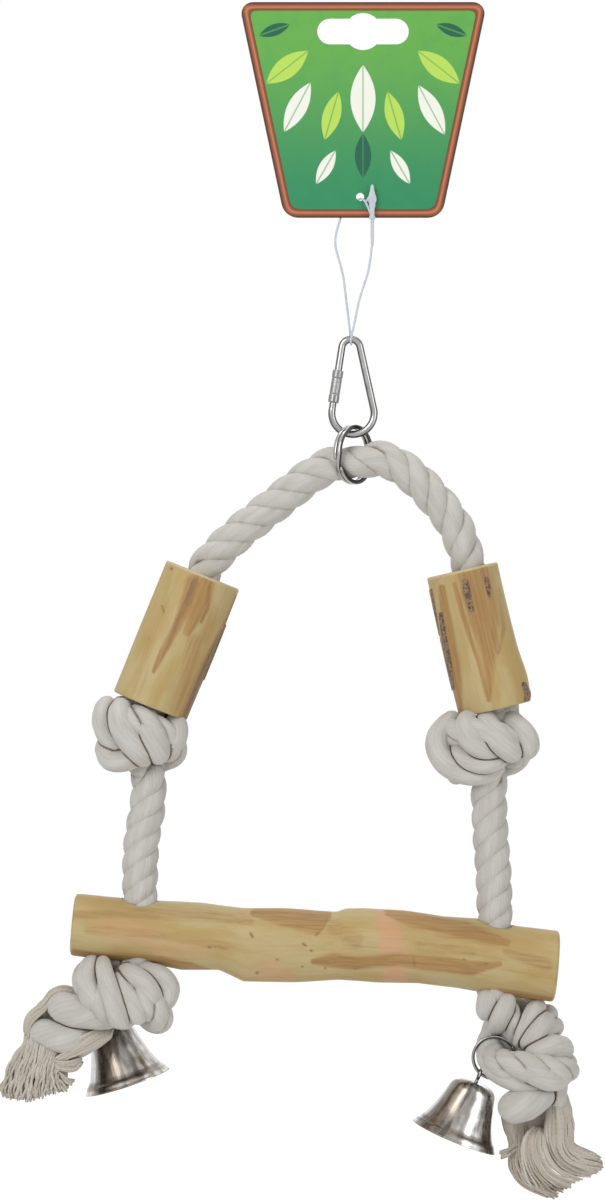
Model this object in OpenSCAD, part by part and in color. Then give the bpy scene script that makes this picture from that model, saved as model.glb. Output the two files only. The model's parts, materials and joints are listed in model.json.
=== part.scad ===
// A hanging bird swing: a cotton rope arch with two turning wood blocks, a wood perch
// on two drop ropes, two bells, and the steel link and header card it is sold on.
// Millimetres. +Z is up and the front faces -Y. The origin is where a display peg
// bears at the top of the card's hanging slot.

/* [Header card] */
// Width of the card along its top edge
card_top_w = 87; // [80:0.5:100]
// Width of the card along its bottom edge
card_bottom_w = 55; // [45:0.5:65]
// Height of the card
card_h = 75.5; // [72:0.5:90]
// Thickness of the card
card_t = 0.6; // [0.4:0.1:1]
// Corner radius at the top of the card
card_top_r = 4; // [2:0.5:6]
// Corner radius at the bottom of the card
card_bottom_r = 6; // [3:0.5:8]
// Card left above the slot's bump
card_above_slot = 3.8; // [3:0.1:6]
// Width of the hanging slot
slot_w = 32; // [28:0.5:36]
// Height of the hanging slot's arms
slot_h = 9; // [7:0.5:10]
// Diameter of the round bump in the middle of the slot
slot_bump_d = 13; // [11:0.5:14]
// Diameter of the hole for the nylon loop
tag_hole_d = 2.8; // [2.4:0.1:3.6]
// Depth of that hole below the peg
tag_hole_drop = 64.4; // [62:0.2:66]
// Place of that hole left of the card's middle
tag_hole_left = 1; // [0:0.5:3]

/* [Nylon loop] */
// Diameter of the nylon filament
filament_d = 0.8; // [0.6:0.1:1]
// Diameter of the latch barrel on the loop
latch_d = 1.8; // [1.4:0.1:2.2]
// Length of the latch barrel
latch_len = 10; // [8:0.5:12]
// Diameter of the ball at the top of the barrel
latch_ball_d = 2.4; // [2:0.1:3]
// Length of the flat tab above the ball
latch_tab_len = 9.5; // [6:0.5:12]
// Drop from the card's hole to the centre of the link's top bend
loop_drop = 52.3; // [50:0.1:54]

/* [Quick link] */
// Wire diameter of the link
link_wire_d = 2.3; // [2:0.1:2.5]
// Centreline radius of the link's narrow top bend
link_top_r = 3.2; // [3:0.05:3.6]
// Centreline radius of the link's wide bottom bend
link_bottom_r = 7.4; // [7:0.1:8]
// Distance between the centres of the two bends
link_bends_apart = 22.7; // [21:0.1:25]
// Lean of the link, its bottom to the right
link_lean = 1.75; // [0:0.25:3]
// Outer diameter of the sleeve nut
nut_d = 3.6; // [3.4:0.1:4.2]
// Length of the sleeve nut
nut_len = 11.5; // [11:0.1:12.5]
// Length of the open gate in the link's left leg
gate_gap = 4; // [3:0.1:4.5]
// Reach of the closed nut over the link's lower stub
nut_grip = 2; // [1.5:0.1:2.5]

/* [Rope ring] */
// Outer diameter of the ring that carries the rope
ring_d = 21; // [20.5:0.1:23]
// Radial thickness of the ring
ring_wall = 1.6; // [1.2:0.1:1.7]
// Width of the ring along its axis, two coils of flat wire
ring_w = 3; // [2.4:0.1:3]
// Turn of the ring about the vertical, its left side to the front
ring_turned = 54; // [50:1:62]

/* [Rope] */
// Diameter of the three-strand rope
rope_d = 12; // [11.4:0.1:12.4]
// Diameter of the rope where it is squeezed in the ring
rope_waist_d = 9.8; // [9.4:0.1:10.2]
// Diameter of the rope where it is pulled tight in a knot
rope_knot_d = 10.4; // [9.6:0.1:11]
// Depth of the perch's swing axis below the left block
swing_drop = 30; // [29:0.5:34]

/* [Wood blocks] */
// Diameter of the left block
left_block_d = 27.2; // [25:0.1:30]
// Length of the left block
left_block_len = 49.5; // [44:0.5:52]
// Lean of the left block, its top to the right
left_block_lean = 22; // [20:0.5:24]
// Diameter of the right block
right_block_d = 25.2; // [24:0.1:28]
// Length of the right block
right_block_len = 50; // [44:0.5:52]
// Lean of the right block, its top to the left
right_block_lean = 13; // [11:0.5:15]
// Place of the right block's bore off its middle
right_bore_off = 2.5; // [0:0.5:3]

/* [Perch] */
// Length of the perch
perch_len = 170; // [164:1:200]
// Diameter of the perch at its left end
perch_d = 22; // [20:0.5:24]
// Lean of the perch, its right end down
perch_lean = 5; // [4:0.25:6]
// Distance between the two rope holes
perch_holes_apart = 125; // [120:0.5:130]
// Distance from the left end of the perch to its first hole
perch_hole_in = 23.5; // [18:0.5:30]

/* [Bells] */
// Diameter of a bell at its rim
bell_rim_d = 30.6; // [28:0.2:32]
// Height of a bell
bell_h = 21; // [19:0.2:23]
// Wall thickness of a bell
bell_wall = 0.6; // [0.5:0.1:0.8]
// Outer diameter of the wire ring that carries a bell
bell_ring_d = 16; // [15.6:0.1:16.4]
// Wire diameter of that ring
bell_ring_wire_d = 1.4; // [1.2:0.1:1.5]
// Wire diameter of a bell's hanger
hanger_wire_d = 1.2; // [1:0.1:1.3]
// Diameter of a clapper's ball
clapper_d = 5; // [4:0.2:6]

/* [Hidden] */

// Clearance of soft or loose pieces from what they hang on
loose_gap = 0.3;
// Clearance of a rope in its bore, and of a sliding nut on its wire
rope_fit = 0.3;
nut_fit = 0.1;
// Overrun of every cut
cut = 1;
// Facets of fine round pieces and of large ones
fine_fn = 48;
large_fn = 96;
// Sides of a rope's tube, of a fine cord's tube and of a turned branch
rope_sides = 12;
filament_sides = 8;
branch_sides = 28;
// Steps between two route points of a tube
rope_steps = 3;
knot_steps = 3;
filament_steps = 2;

cotton = "Linen";
wood = "BurlyWood";
steel = "Silver";
nylon = "WhiteSmoke";

// Turns a place [x, z] in the swing's own plane into a point
function at(p, y = 0) = [p[0], y, p[1]];
// A place turned about the origin, clockwise seen from the front
function leaned(p, a) = [p[0] * cos(a) + p[1] * sin(a), p[1] * cos(a) - p[0] * sin(a)];
function unit(v) = v / norm(v);

// A smooth curve through every point of a route, with some steps to each stretch
function between(a, b, c, d, t) =
    (b * 2 + (c - a) * t + (a * 2 - b * 5 + c * 4 - d) * t * t
     + (b * 3 - a - c * 3 + d) * t * t * t) / 2;
function smooth(route, steps) =
    let (last = len(route) - 1)
    [for (i = [0 : last - 1], k = [0 : steps - 1])
         between(route[max(i - 1, 0)], route[i], route[i + 1],
                 route[min(i + 2, last)], k / steps),
     route[last]];

// Directions along a curve, and a side direction carried along it without twist
function directions(curve) =
    let (last = len(curve) - 1)
    [for (i = [0 : last]) unit(curve[min(i + 1, last)] - curve[max(i - 1, 0)])];
function squared(side, along) = unit(side - along * (side * along));
function sides_along(dirs, first) =
    [for (i = 0, s = squared(first, dirs[0]); i < len(dirs);
          i = i + 1, s = i < len(dirs) ? squared(s, dirs[i]) : s) s];

// Least distance between points of a curve that are at least "far" points apart
function least_gap(curve, far) =
    let (last = len(curve) - 1)
    min([for (i = [0 : last - far], j = [i + far : last]) norm(curve[i] - curve[j])]);

// A solid swept along a curve, or along the stretch of it between two shares. Each ring
// has one half width across the swing's plane and one within it
module swept(curve, thick, wide, around, from = 0, to = 1)
{
    dirs = directions(curve);
    across = sides_along(dirs, [0, 1, 0]);
    first = round(from * (len(curve) - 1));
    rings = round(to * (len(curve) - 1)) - first + 1;
    function spot(i, k) = curve[i]
        + across[i] * (thick[i] * cos(360 * k / around))
        + cross(dirs[i], across[i]) * (wide[i] * sin(360 * k / around));
    points = [for (i = [0 : rings - 1], k = [0 : around - 1]) spot(first + i, k)];
    function at_ring(i, k) = i * around + k % around;
    skin = [for (i = [0 : rings - 2], k = [0 : around - 1], half = [0, 1])
        half == 0 ? [at_ring(i, k), at_ring(i + 1, k + 1), at_ring(i, k + 1)]
                  : [at_ring(i, k), at_ring(i + 1, k), at_ring(i + 1, k + 1)]];
    start = [for (k = [1 : around - 2]) [at_ring(0, 0), at_ring(0, k), at_ring(0, k + 1)]];
    end = [for (k = [1 : around - 2])
        [at_ring(rings - 1, 0), at_ring(rings - 1, k + 1), at_ring(rings - 1, k)]];
    polyhedron(points = points, faces = concat(skin, start, end));
}

// A round cord along a curve, all of one radius
module cord(curve, r, around, from = 0, to = 1)
{
    same = [for (p = curve) r];
    swept(curve, same, same, around, from, to);
}

// A table of shares read at a place u between 0 and 1, with a smooth bend at each entry
function read_share(shares, u) =
    let (last = len(shares) - 1, w = min(u, 0.9999) * last, i = floor(w))
    between(shares[max(i - 1, 0)], shares[i], shares[i + 1],
            shares[min(i + 2, last)], w - i);

// A turned wire bend in the swing's plane, from one angle to another
module bend(centre, r, wire_d, from, to)
{
    translate(at(centre)) rotate([90, 0, 0]) rotate([0, 0, from])
        rotate_extrude(angle = to - from, $fn = large_fn)
            translate([r, 0]) circle(d = wire_d, $fn = fine_fn);
}

// A whole wire ring about the Y axis
module wire_ring(r, wire_d)
{
    rotate([90, 0, 0]) rotate_extrude($fn = large_fn)
        translate([r, 0]) circle(d = wire_d, $fn = fine_fn);
}

// Header card
card_top = card_above_slot;
card_bottom = card_top - card_h;
slot_mid = [0, -slot_bump_d / 2];
tag_hole = [-tag_hole_left, -tag_hole_drop];
corner_steps = 6;

// Points of a rounded corner, from one angle to another
function corner(centre, r, from, to) =
    [for (i = [0 : corner_steps])
         let (a = from + (to - from) * i / corner_steps)
         centre + [r * cos(a), r * sin(a)]];
card_slope = atan2((card_top_w - card_bottom_w) / 2, card_h);
// Distance from a corner of the trapezoid to its rounding's centre, along the edge
card_top_in = card_top_r / tan((90 - card_slope) / 2);
card_bottom_in = card_bottom_r / tan((90 + card_slope) / 2);

module header_card()
{
    color("SeaGreen") rotate([90, 0, 0]) translate([0, 0, -card_t / 2])
        difference()
        {
            linear_extrude(card_t) polygon(concat(
                corner([card_top_w / 2 - card_top_in, card_top - card_top_r],
                       card_top_r, 90, -card_slope),
                corner([card_bottom_w / 2 - card_bottom_in, card_bottom + card_bottom_r],
                       card_bottom_r, -card_slope, -90),
                corner([card_bottom_in - card_bottom_w / 2, card_bottom + card_bottom_r],
                       card_bottom_r, -90, -180 + card_slope),
                corner([card_top_in - card_top_w / 2, card_top - card_top_r],
                       card_top_r, 180 + card_slope, 90)));
            translate([slot_mid[0], slot_mid[1], -cut])
            {
                cylinder(d = slot_bump_d, h = card_t + cut * 2, $fn = large_fn);
                translate([slot_h / 2 - slot_w / 2, -slot_h / 2, 0])
                    cube([slot_w - slot_h, slot_h, card_t + cut * 2]);
                for (side = [-1, 1])
                    translate([side * (slot_w - slot_h) / 2, 0, 0])
                        cylinder(d = slot_h, h = card_t + cut * 2, $fn = fine_fn);
            }
            translate([tag_hole[0], tag_hole[1], -cut])
                cylinder(d = tag_hole_d, h = card_t + cut * 2, $fn = fine_fn);
        }
}

// Nylon loop, which hangs on the lower edge of the card's hole
filament_r = filament_d / 2;
loop_pivot = tag_hole - [0, tag_hole_d / 2 - filament_r - loose_gap];
// The link hangs a little left of the card's hole
link_left = 3.2;
link_eye = loop_pivot - [link_left, loop_drop];
// Distance of the filament's line from the link's wire and from the card's middle
round_wire = link_wire_d / 2 + loose_gap + filament_r;
off_card = card_t / 2 + loose_gap + filament_r;
latch_off_card = card_t / 2 + loose_gap + latch_ball_d / 2;
under_wire = link_eye + [0, link_top_r];
latch_top = [4.2, -6.6];
loop_front_route = [[3.9, -15], [2.3, -25], [-0.2, -35], [-2, -43.5]];
loop_back_route = [[-3.8, -44], [-4.9, -35], [-6, -26.5], [-8.4, -17.5], [-8.6, -13.5],
                   [-7.6, -9], [-6, -5], [-3.2, -2]];

function loop_curve() = smooth(concat(
    [at(loop_pivot + latch_top + [0, -latch_len / 2], -latch_off_card)],
    [for (i = [0 : 3]) at(loop_pivot + loop_front_route[i],
                          -latch_off_card + (latch_off_card - round_wire) * i / 3)],
    [at(under_wire, -round_wire),
     at(under_wire - [0, round_wire * sin(45)], -round_wire * cos(45)),
     at(under_wire - [0, round_wire]),
     at(under_wire - [0, round_wire * sin(45)], round_wire * cos(45)),
     at(under_wire, round_wire)],
    [for (i = [0 : 7]) at(loop_pivot + loop_back_route[i],
                          round_wire + (off_card - round_wire) * min(i / 4, 1))],
    [at(loop_pivot + [-loose_gap, 0], card_t / 2 + loose_gap),
     at(loop_pivot, 0),
     at(loop_pivot + [loose_gap, 0], -card_t / 2 - loose_gap),
     at(loop_pivot + [latch_d, -latch_ball_d / 2], -latch_off_card),
     at(loop_pivot + latch_top, -latch_off_card)]), filament_steps);

module tag_loop()
{
    tab_t = filament_d;
    color(nylon) union()
    {
        cord(loop_curve(), filament_r, filament_sides);
        translate(at(loop_pivot + latch_top, -latch_off_card))
        {
            translate([0, 0, -latch_len]) cylinder(d = latch_d, h = latch_len, $fn = fine_fn);
            sphere(d = latch_ball_d, $fn = fine_fn);
            translate([-latch_d / 2, -tab_t / 2, 0]) cube([latch_d, tab_t, latch_tab_len]);
        }
    }
}

// Quick link: a pear of wire with an open gate in its left leg, under the sleeve nut
link_flare = asin((link_bottom_r - link_top_r) / link_bends_apart);
leg_len = sqrt(link_bends_apart ^ 2 - (link_bottom_r - link_top_r) ^ 2);
link_low = [0, -link_bends_apart];
leg_start = [-link_top_r * cos(link_flare), link_top_r * sin(link_flare)];
// Leg left below the closed nut, and the nut's top end, measured down from the top bend
nut_rest = 2.6;
nut_from = leg_len - nut_rest - nut_len;
nut_collar = nut_len / 5;
lower_stub = leg_len - (nut_from + nut_len - nut_grip);
upper_stub = leg_len - lower_stub - gate_gap;

// Places its children on the link, with the link's lean, at its top bend's centre
module on_link() { translate(at(link_eye)) rotate([0, -link_lean, 0]) children(); }

// Places its children on the left leg, with +Z running down it from the top bend
module on_leg() { translate(at(leg_start)) rotate([0, 180 + link_flare, 0]) children(); }
// A leg's straight wire, a hair thinner than the bends, into which its ends reach
leg_thinner = 0.04;
leg_reach = 0.3;
module leg_wire(from, to)
{
    on_leg() translate([0, 0, from])
        cylinder(d = link_wire_d - leg_thinner, h = to - from, $fn = fine_fn);
}

module link_body()
{
    color(steel) on_link() union()
    {
        bend([0, 0], link_top_r, link_wire_d, link_flare, 180 - link_flare);
        bend(link_low, link_bottom_r, link_wire_d, 180 - link_flare, 360 + link_flare);
        mirror([1, 0, 0]) leg_wire(-leg_reach, leg_len + leg_reach);
        leg_wire(-leg_reach, upper_stub);
        leg_wire(leg_len - lower_stub, leg_len + leg_reach);
    }
}

module link_sleeve()
{
    collar_r = nut_d / 2;
    waist_r = collar_r - nut_fit;
    bore_r = link_wire_d / 2 + nut_fit;
    color("DimGray") on_link() on_leg() translate([0, 0, nut_from]) rotate_extrude($fn = fine_fn)
        polygon([[bore_r, 0], [collar_r, 0], [collar_r, nut_collar],
                 [waist_r, nut_collar + nut_fit], [waist_r, nut_len - nut_collar - nut_fit],
                 [collar_r, nut_len - nut_collar], [collar_r, nut_len], [bore_r, nut_len]]);
}

// Rope ring, which hangs on the link's bottom bend
ring_r = ring_d / 2;
ring_in_r = ring_r - ring_wall;
link_bottom = link_eye
    + leaned([0, -link_bends_apart - link_bottom_r], -link_lean);
// Clearances of the ring on the link's wire, of the rope in the ring and of its coils
ring_gap = 0.7;
waist_gap = 1;
coil_gap = 0.1;
ring_mid = link_bottom - [0, ring_in_r - link_wire_d / 2 - ring_gap];

module rope_ring()
{
    coil_w = (ring_w - coil_gap) / 2;
    weld_wall = ring_wall / 2;
    color(steel) translate(at(ring_mid)) rotate([0, 0, ring_turned]) rotate([90, 0, 0])
        rotate_extrude($fn = large_fn) union()
        {
            translate([ring_in_r, coil_gap / 2]) square([ring_wall, coil_w]);
            translate([ring_in_r, -coil_gap / 2 - coil_w]) square([ring_wall, coil_w]);
            translate([ring_in_r + weld_wall / 2, -coil_w / 2]) square([weld_wall, coil_w]);
        }
}

// Rope arch, which hangs in the ring and runs down through both blocks
rope_r = rope_d / 2;
bore_r = rope_r + rope_fit;
rope_top = ring_mid - [0, ring_in_r - rope_waist_d / 2 - waist_gap];
// Places of the two blocks' lower mouths from the top of the rope
left_mouth_off = [-71.2, -85];
right_mouth_off = [51.7, -85.5];
left_mouth = rope_top + left_mouth_off;
right_mouth = rope_top + right_mouth_off;
left_up = leaned([0, 1], left_block_lean);
right_up = leaned([0, 1], -right_block_lean);
left_top = left_mouth + left_up * left_block_len;
right_top = right_mouth + right_up * right_block_len;
// Straight rope left above a block before the arch bends
rope_lead = 4;
arch_left_route = [[-45.5, -29.5], [-39, -23.5], [-31.5, -17.5], [-24.5, -12], [-17, -6],
                   [-10, -1.5], [-5, 0]];
arch_right_route = [[5, 0], [10.5, 0.5], [17, -2.5], [23, -7], [28, -12], [32.5, -17.5],
                    [36.5, -24]];

function arch_curve() = smooth(concat(
    [for (k = [0, 0.5, 1]) at(left_mouth + left_up * left_block_len * k)],
    [at(left_top + left_up * rope_lead)],
    [for (p = arch_left_route) at(rope_top + p)],
    [at(rope_top)],
    [for (p = arch_right_route) at(rope_top + p)],
    [at(right_top + right_up * rope_lead)],
    [for (k = [1, 0.5, 0]) at(right_mouth + right_up * right_block_len * k)]), rope_steps);
// The rope's radius on the arch, drawn in where the ring holds it
waist_flat = 3.5;
waist_swell = 9;
function arch_radius(p) =
    let (past = norm(p - at(rope_top)) - waist_flat, off = max(min(past / waist_swell, 1), 0))
    rope_waist_d / 2 + (rope_r - rope_waist_d / 2) * off * off * (3 - 2 * off);

module arch_rope()
{
    curve = arch_curve();
    radii = [for (p = curve) arch_radius(p)];
    color(cotton) swept(curve, radii, radii, rope_sides);
}

// A length of branch about the Z axis, from z = 0 up, with its own swells
module branch(length, r, radius_shares, bow_shares, ripple_share)
{
    rings = len(radius_shares) * 2;
    curve = [for (i = [0 : rings]) [r * read_share(bow_shares, i / rings), 0, length * i / rings]];
    points = [for (i = [0 : rings], k = [0 : branch_sides - 1])
        let (u = i / rings, a = 360 * k / branch_sides,
             swell = read_share(radius_shares, u)
                 * (1 + ripple_share * (sin(3 * a + 200 * u) + 0.6 * sin(5 * a - 310 * u))))
        curve[i] + [r * swell * cos(a), r * swell * sin(a), 0]];
    function spot(i, k) = i * branch_sides + k % branch_sides;
    skin = [for (i = [0 : rings - 1], k = [0 : branch_sides - 1], half = [0, 1])
        half == 0 ? [spot(i, k), spot(i + 1, k + 1), spot(i, k + 1)]
                  : [spot(i, k), spot(i + 1, k), spot(i + 1, k + 1)]];
    low = [for (k = [1 : branch_sides - 2]) [spot(0, 0), spot(0, k), spot(0, k + 1)]];
    high = [for (k = [1 : branch_sides - 2])
        [spot(rings, 0), spot(rings, k + 1), spot(rings, k)]];
    polyhedron(points = points, faces = concat(skin, low, high));
}

// Blocks: short branches with a bore for the rope
no_bow_shares = [0, 0];
block_ripple_share = 0.012;
left_block_shares = [1, 0.995, 1, 1.005, 0.995, 0.99];
right_block_shares = [1.06, 1.13, 1.08, 1.01, 0.98, 1];

module block(mouth, lean, length, d, shares, bore_off)
{
    color(wood) translate(at(mouth)) rotate([0, lean, 0]) difference()
    {
        translate([-bore_off, 0, 0])
            branch(length, d / 2, shares, no_bow_shares, block_ripple_share);
        translate([0, 0, -cut]) cylinder(r = bore_r, h = length + cut * 2, $fn = large_fn);
    }
}
module left_block()
{
    block(left_mouth, left_block_lean, left_block_len, left_block_d, left_block_shares, 0);
}
module right_block()
{
    block(right_mouth, -right_block_lean, right_block_len, right_block_d,
          right_block_shares, right_bore_off);
}

// Overhand knots. The rope winds about the knot's own axis while it dips below its
// middle, rises above it and dips back. "turned" spins the knot about that axis,
// "across" is the knot's unit across its axis, and "flat" shortens it along the axis.
// Pulled tight, the soft rope is pressed into itself, so the turns are one solid
knot_rise_share = 1.35;
knot_swirl = 240;
knot_fat_share = 1.1;
knot_pinch_share = 0.5;
knot_turns = 16;

function knot_own(s) =
    let (r = knot_fat_share - knot_pinch_share * s ^ 4, a = 180 + knot_swirl * s)
    [knot_rise_share * sin(180 * s), r * cos(a), r * sin(a)];
// One knot is [centre, lean, turned, across, flat]
function knot_place(own, knot) =
    let (lean = knot[1], turned = knot[2], across = knot[3], flat = knot[4],
         up = at(leaned([0, 1], lean)), right = at(leaned([1, 0], lean)), front = [0, -1, 0])
    at(knot[0])
    + up * (own[0] * across * flat)
    + (right * cos(turned) + front * sin(turned)) * (own[1] * across)
    + (front * cos(turned) - right * sin(turned)) * (own[2] * across);
function knot_curve(knot) =
    smooth([for (i = [0 : knot_turns]) knot_place(knot_own(2 * i / knot_turns - 1), knot)],
           knot_steps);

// The rope enters a knot at its full size and leaves it at "leave_r"
module knot(enter, knot, leave, leave_r)
{
    tight = rope_knot_d / 2;
    turns = knot_curve(knot);
    lead_in = smooth(enter, rope_steps);
    lead_out = smooth(leave, rope_steps);
    in_last = len(lead_in) - 1;
    out_last = len(lead_out) - 1;
    in_radii = [for (i = [0 : in_last]) rope_r + (tight - rope_r) * i / in_last];
    out_radii = [for (i = [0 : out_last]) tight + (leave_r - tight) * i / out_last];
    union()
    {
        swept(lead_in, in_radii, in_radii, rope_sides);
        for (third = [0 : 2])
            cord(turns, tight, rope_sides, third / 3, (third + 1) / 3);
        swept(lead_out, out_radii, out_radii, rope_sides);
    }
}

// Upper knots, which carry the blocks. Below them the drop ropes swing
swing_z = left_mouth[1] - swing_drop;
knot_foot = swing_z + rope_r + loose_gap;
// Drop ropes' places left of the blocks' mouths, and knots' places from those mouths
left_drop_left = 0.7;
right_drop_left = 4.4;
left_upper_off = [-3.2, -12.2];
right_upper_off = [-6.4, -14.8];
left_upper_across = 10.3;
right_upper_across = 11;
left_drop_x = left_mouth[0] - left_drop_left;
right_drop_x = right_mouth[0] - right_drop_left;
left_upper = [left_mouth + left_upper_off, 18, 180, left_upper_across, 0.5];
right_upper = [right_mouth + right_upper_off, -6, 195, right_upper_across, 0.5];

module left_upper_knot()
{
    color(cotton) knot([at(left_mouth), at(left_mouth - left_up * rope_lead), at(left_upper[0])],
        left_upper,
        [at(left_upper[0]), [left_drop_x, 0, knot_foot + rope_lead], [left_drop_x, 0, knot_foot]],
        rope_r);
}
module right_upper_knot()
{
    color(cotton) knot([at(right_mouth), at(right_mouth - right_up * rope_lead),
                        at(right_upper[0])],
        right_upper,
        [at(right_upper[0]), [right_drop_x, 0, knot_foot + rope_lead],
         [right_drop_x, 0, knot_foot]],
        rope_r);
}

// Perch
perch_right = leaned([1, 0], perch_lean);
perch_r = perch_d / 2;
// Place of the left hole from the top of the left drop rope
perch_hang = [-3, -48.5];
perch_hole_left = [left_drop_x, swing_z] + perch_hang;
perch_hole_right = perch_hole_left + perch_right * perch_holes_apart;
perch_start = perch_hole_left - perch_right * perch_hole_in;
perch_shares = [0.93, 1.01, 1.03, 1.06, 1.08, 1.13, 1.17, 1.14, 1.13, 1.16, 1.15, 1.13,
                1.12, 1.13, 1.12];
perch_bow_shares = [0, 0, 0.02, 0, -0.06, -0.1, -0.04, 0.04, 0.1, 0.14, 0.13, 0.1, 0.06,
                    0.02, 0];
perch_ripple_share = 0.014;

module perch()
{
    hole_len = perch_d * 2;
    color(wood) difference()
    {
        translate(at(perch_start)) rotate([0, 90 + perch_lean, 0])
            mirror([1, 0, 0])
            branch(perch_len, perch_r, perch_shares, perch_bow_shares, perch_ripple_share);
        for (hole = [perch_hole_left, perch_hole_right])
            translate(at(hole) - [0, 0, hole_len / 2])
                cylinder(r = bore_r, h = hole_len, $fn = large_fn);
    }
}

// Drop ropes, from the swing's axis down through the perch. Their tops are round
perch_under_share = 1.15;
perch_under = perch_r * perch_under_share;
left_foot = perch_hole_left - [0, perch_under];
right_foot = perch_hole_right - [0, perch_under];
left_drop_route = [[-0.3, -6], [-2, -15], [-2.8, -26]];
right_drop_route = [[0.2, -6], [0.8, -18], [1.8, -32]];
cap_angles = [75, 55, 35, 15];

module drop_rope(x, route, hole, foot)
{
    top = [x, 0, swing_z];
    curve = concat(
        [for (a = cap_angles) top + [0, 0, rope_r * sin(a)]],
        smooth(concat([top], [for (p = route) top + at(p)],
                      [at(hole), at(foot)]), rope_steps));
    radii = concat([for (a = cap_angles) rope_r * cos(a)],
                   [for (i = [len(cap_angles) : len(curve) - 1]) rope_r]);
    color(cotton) swept(curve, radii, radii, rope_sides);
}
module left_drop_rope()
{
    drop_rope(left_drop_x, left_drop_route, perch_hole_left, left_foot);
}
module right_drop_rope()
{
    drop_rope(right_drop_x, right_drop_route, perch_hole_right, right_foot);
}

// Lower knots, which carry the perch, and the unlaid tassels below them
left_lower_off = [-5.8, -10.6];
right_lower_off = [10.5, -16.5];
left_lower_across = 9.3;
right_lower_across = 11.5;
left_lower = [left_foot + left_lower_off, 78, 88, left_lower_across, 0.86];
right_lower = [right_foot + right_lower_off, -10, 320, right_lower_across, 0.68];
// Where the rope leaves each knot, from the knot's middle, and its way in or out
left_tail = left_lower[0] + [-12.5, -7.5];
right_tail = right_lower[0] + [2, -16.5];
left_way_out = left_tail + [4, 1];
right_way_in = right_foot + [5, -11];

// What a bell's ring is pressed into is grooved for it
module left_lower_knot()
{
    color(cotton) difference()
    {
        knot([at(left_foot), at(left_foot - [0, rope_lead]), at(left_lower[0])],
             left_lower,
             [at(left_lower[0]), at(left_way_out), at(left_tail)], rope_knot_d / 2);
        left_bell_ring_place() wire_ring(bell_ring_r, bell_ring_wire_d + groove_fit * 2);
    }
}
module right_lower_knot()
{
    color(cotton) difference()
    {
        knot([at(right_foot), at(right_foot - [0, rope_lead]), at(right_way_in),
              at(right_lower[0])],
             right_lower,
             [at(right_lower[0]), at(right_tail + [0, rope_lead]), at(right_tail)],
             rope_knot_d / 2);
        right_bell_ring_place() wire_ring(bell_ring_r, bell_ring_wire_d + groove_fit * 2);
    }
}

left_tassel_route = [[0, 0], [-6, 2], [-11.5, -0.5], [-15.5, -7.5], [-18.5, -16.5], [-20.5, -25.5]];
left_tassel_wide_shares = [0.87, 1.3, 1.75, 2.1, 2.2, 1.9];
left_tassel_thick_shares = [0.87, 1.1, 1.2, 1.25, 1.2, 0.9];
right_tassel_route = [[0, 0], [0.5, -4], [1.5, -11], [4.2, -19.5], [7, -28], [7.5, -35]];
right_tassel_wide_shares = [0.87, 1.7, 1.5, 1.9, 2.7, 1.9];
right_tassel_thick_shares = [0.87, 1.5, 1.35, 1.4, 1.4, 0.9];
tassel_sides = 16;

module tassel(start, route, wide_shares, thick_shares)
{
    curve = smooth([for (p = route) at(start + p)], rope_steps);
    last = len(curve) - 1;
    color(cotton) swept(curve,
        [for (i = [0 : last]) rope_r * read_share(thick_shares, i / last)],
        [for (i = [0 : last]) rope_r * read_share(wide_shares, i / last)], tassel_sides);
}
module left_tassel()
{
    tassel(left_tail, left_tassel_route, left_tassel_wide_shares, left_tassel_thick_shares);
}
module right_tassel()
{
    tassel(right_tail, right_tassel_route, right_tassel_wide_shares,
           right_tassel_thick_shares);
}

// Bell rings, pressed into the lower knots. The left one lies front to back behind its
// knot, and the right one lies in the swing's plane round its knot's left turn
groove_fit = 0.15;
bell_ring_r = bell_ring_d / 2 - bell_ring_wire_d / 2;
left_ring_off = [-6.5, -1];
left_ring_back = 12.5;
right_ring_off = [-11, -4.5];
left_ring_mid = left_lower[0] + left_ring_off;
right_ring_mid = right_lower[0] + right_ring_off;
module left_bell_ring_place()
{
    translate(at(left_ring_mid, left_ring_back)) rotate([0, 0, 90]) children();
}
module right_bell_ring_place() { translate(at(right_ring_mid)) children(); }
module left_bell_ring()
{
    color(steel) left_bell_ring_place() wire_ring(bell_ring_r, bell_ring_wire_d);
}
module right_bell_ring()
{
    color(steel) right_bell_ring_place() wire_ring(bell_ring_r, bell_ring_wire_d);
}

// Bells. A bell's frame has its origin at the ring's wire, where it hangs, and -Z runs
// down through its crown. Its outline is shares of its height and of its rim's radius
left_bell_lean = -18;
right_bell_lean = 22.5;
// Where the right bell hangs on its ring, measured round from the ring's left
right_hang_angle = 228;
left_hang = left_ring_mid - [0, bell_ring_r];
right_hang = right_ring_mid + [cos(right_hang_angle), sin(right_hang_angle)] * bell_ring_r;
bell_drop_shares = [0, 0.01, 0.05, 0.13, 0.3, 0.57, 0.76, 0.86, 0.89, 1];
bell_out_shares = [0.08, 0.27, 0.42, 0.52, 0.585, 0.69, 0.8, 0.88, 0.93, 1];
hanger_r = hanger_wire_d / 2;
hanger_fit = 0.15;
// Clearance of the hanger's eye round its ring's wire
eye_gap = 0.45;
eye_r = bell_ring_wire_d / 2 + hanger_r + eye_gap;
eye_drop = hanger_fit * 2;
crown_drop = eye_drop + eye_r + hanger_wire_d;
inner_eye_r = 1.5;
inner_eye_drop = crown_drop + bell_wall + hanger_fit + hanger_r + inner_eye_r;

// Places its children on the left or right bell, with the bell's lean
module on_left_bell(back = left_ring_back)
{
    translate(at(left_hang, back)) rotate([0, left_bell_lean, 0]) children();
}
module on_right_bell() { translate(at(right_hang)) rotate([0, right_bell_lean, 0]) children(); }

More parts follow.
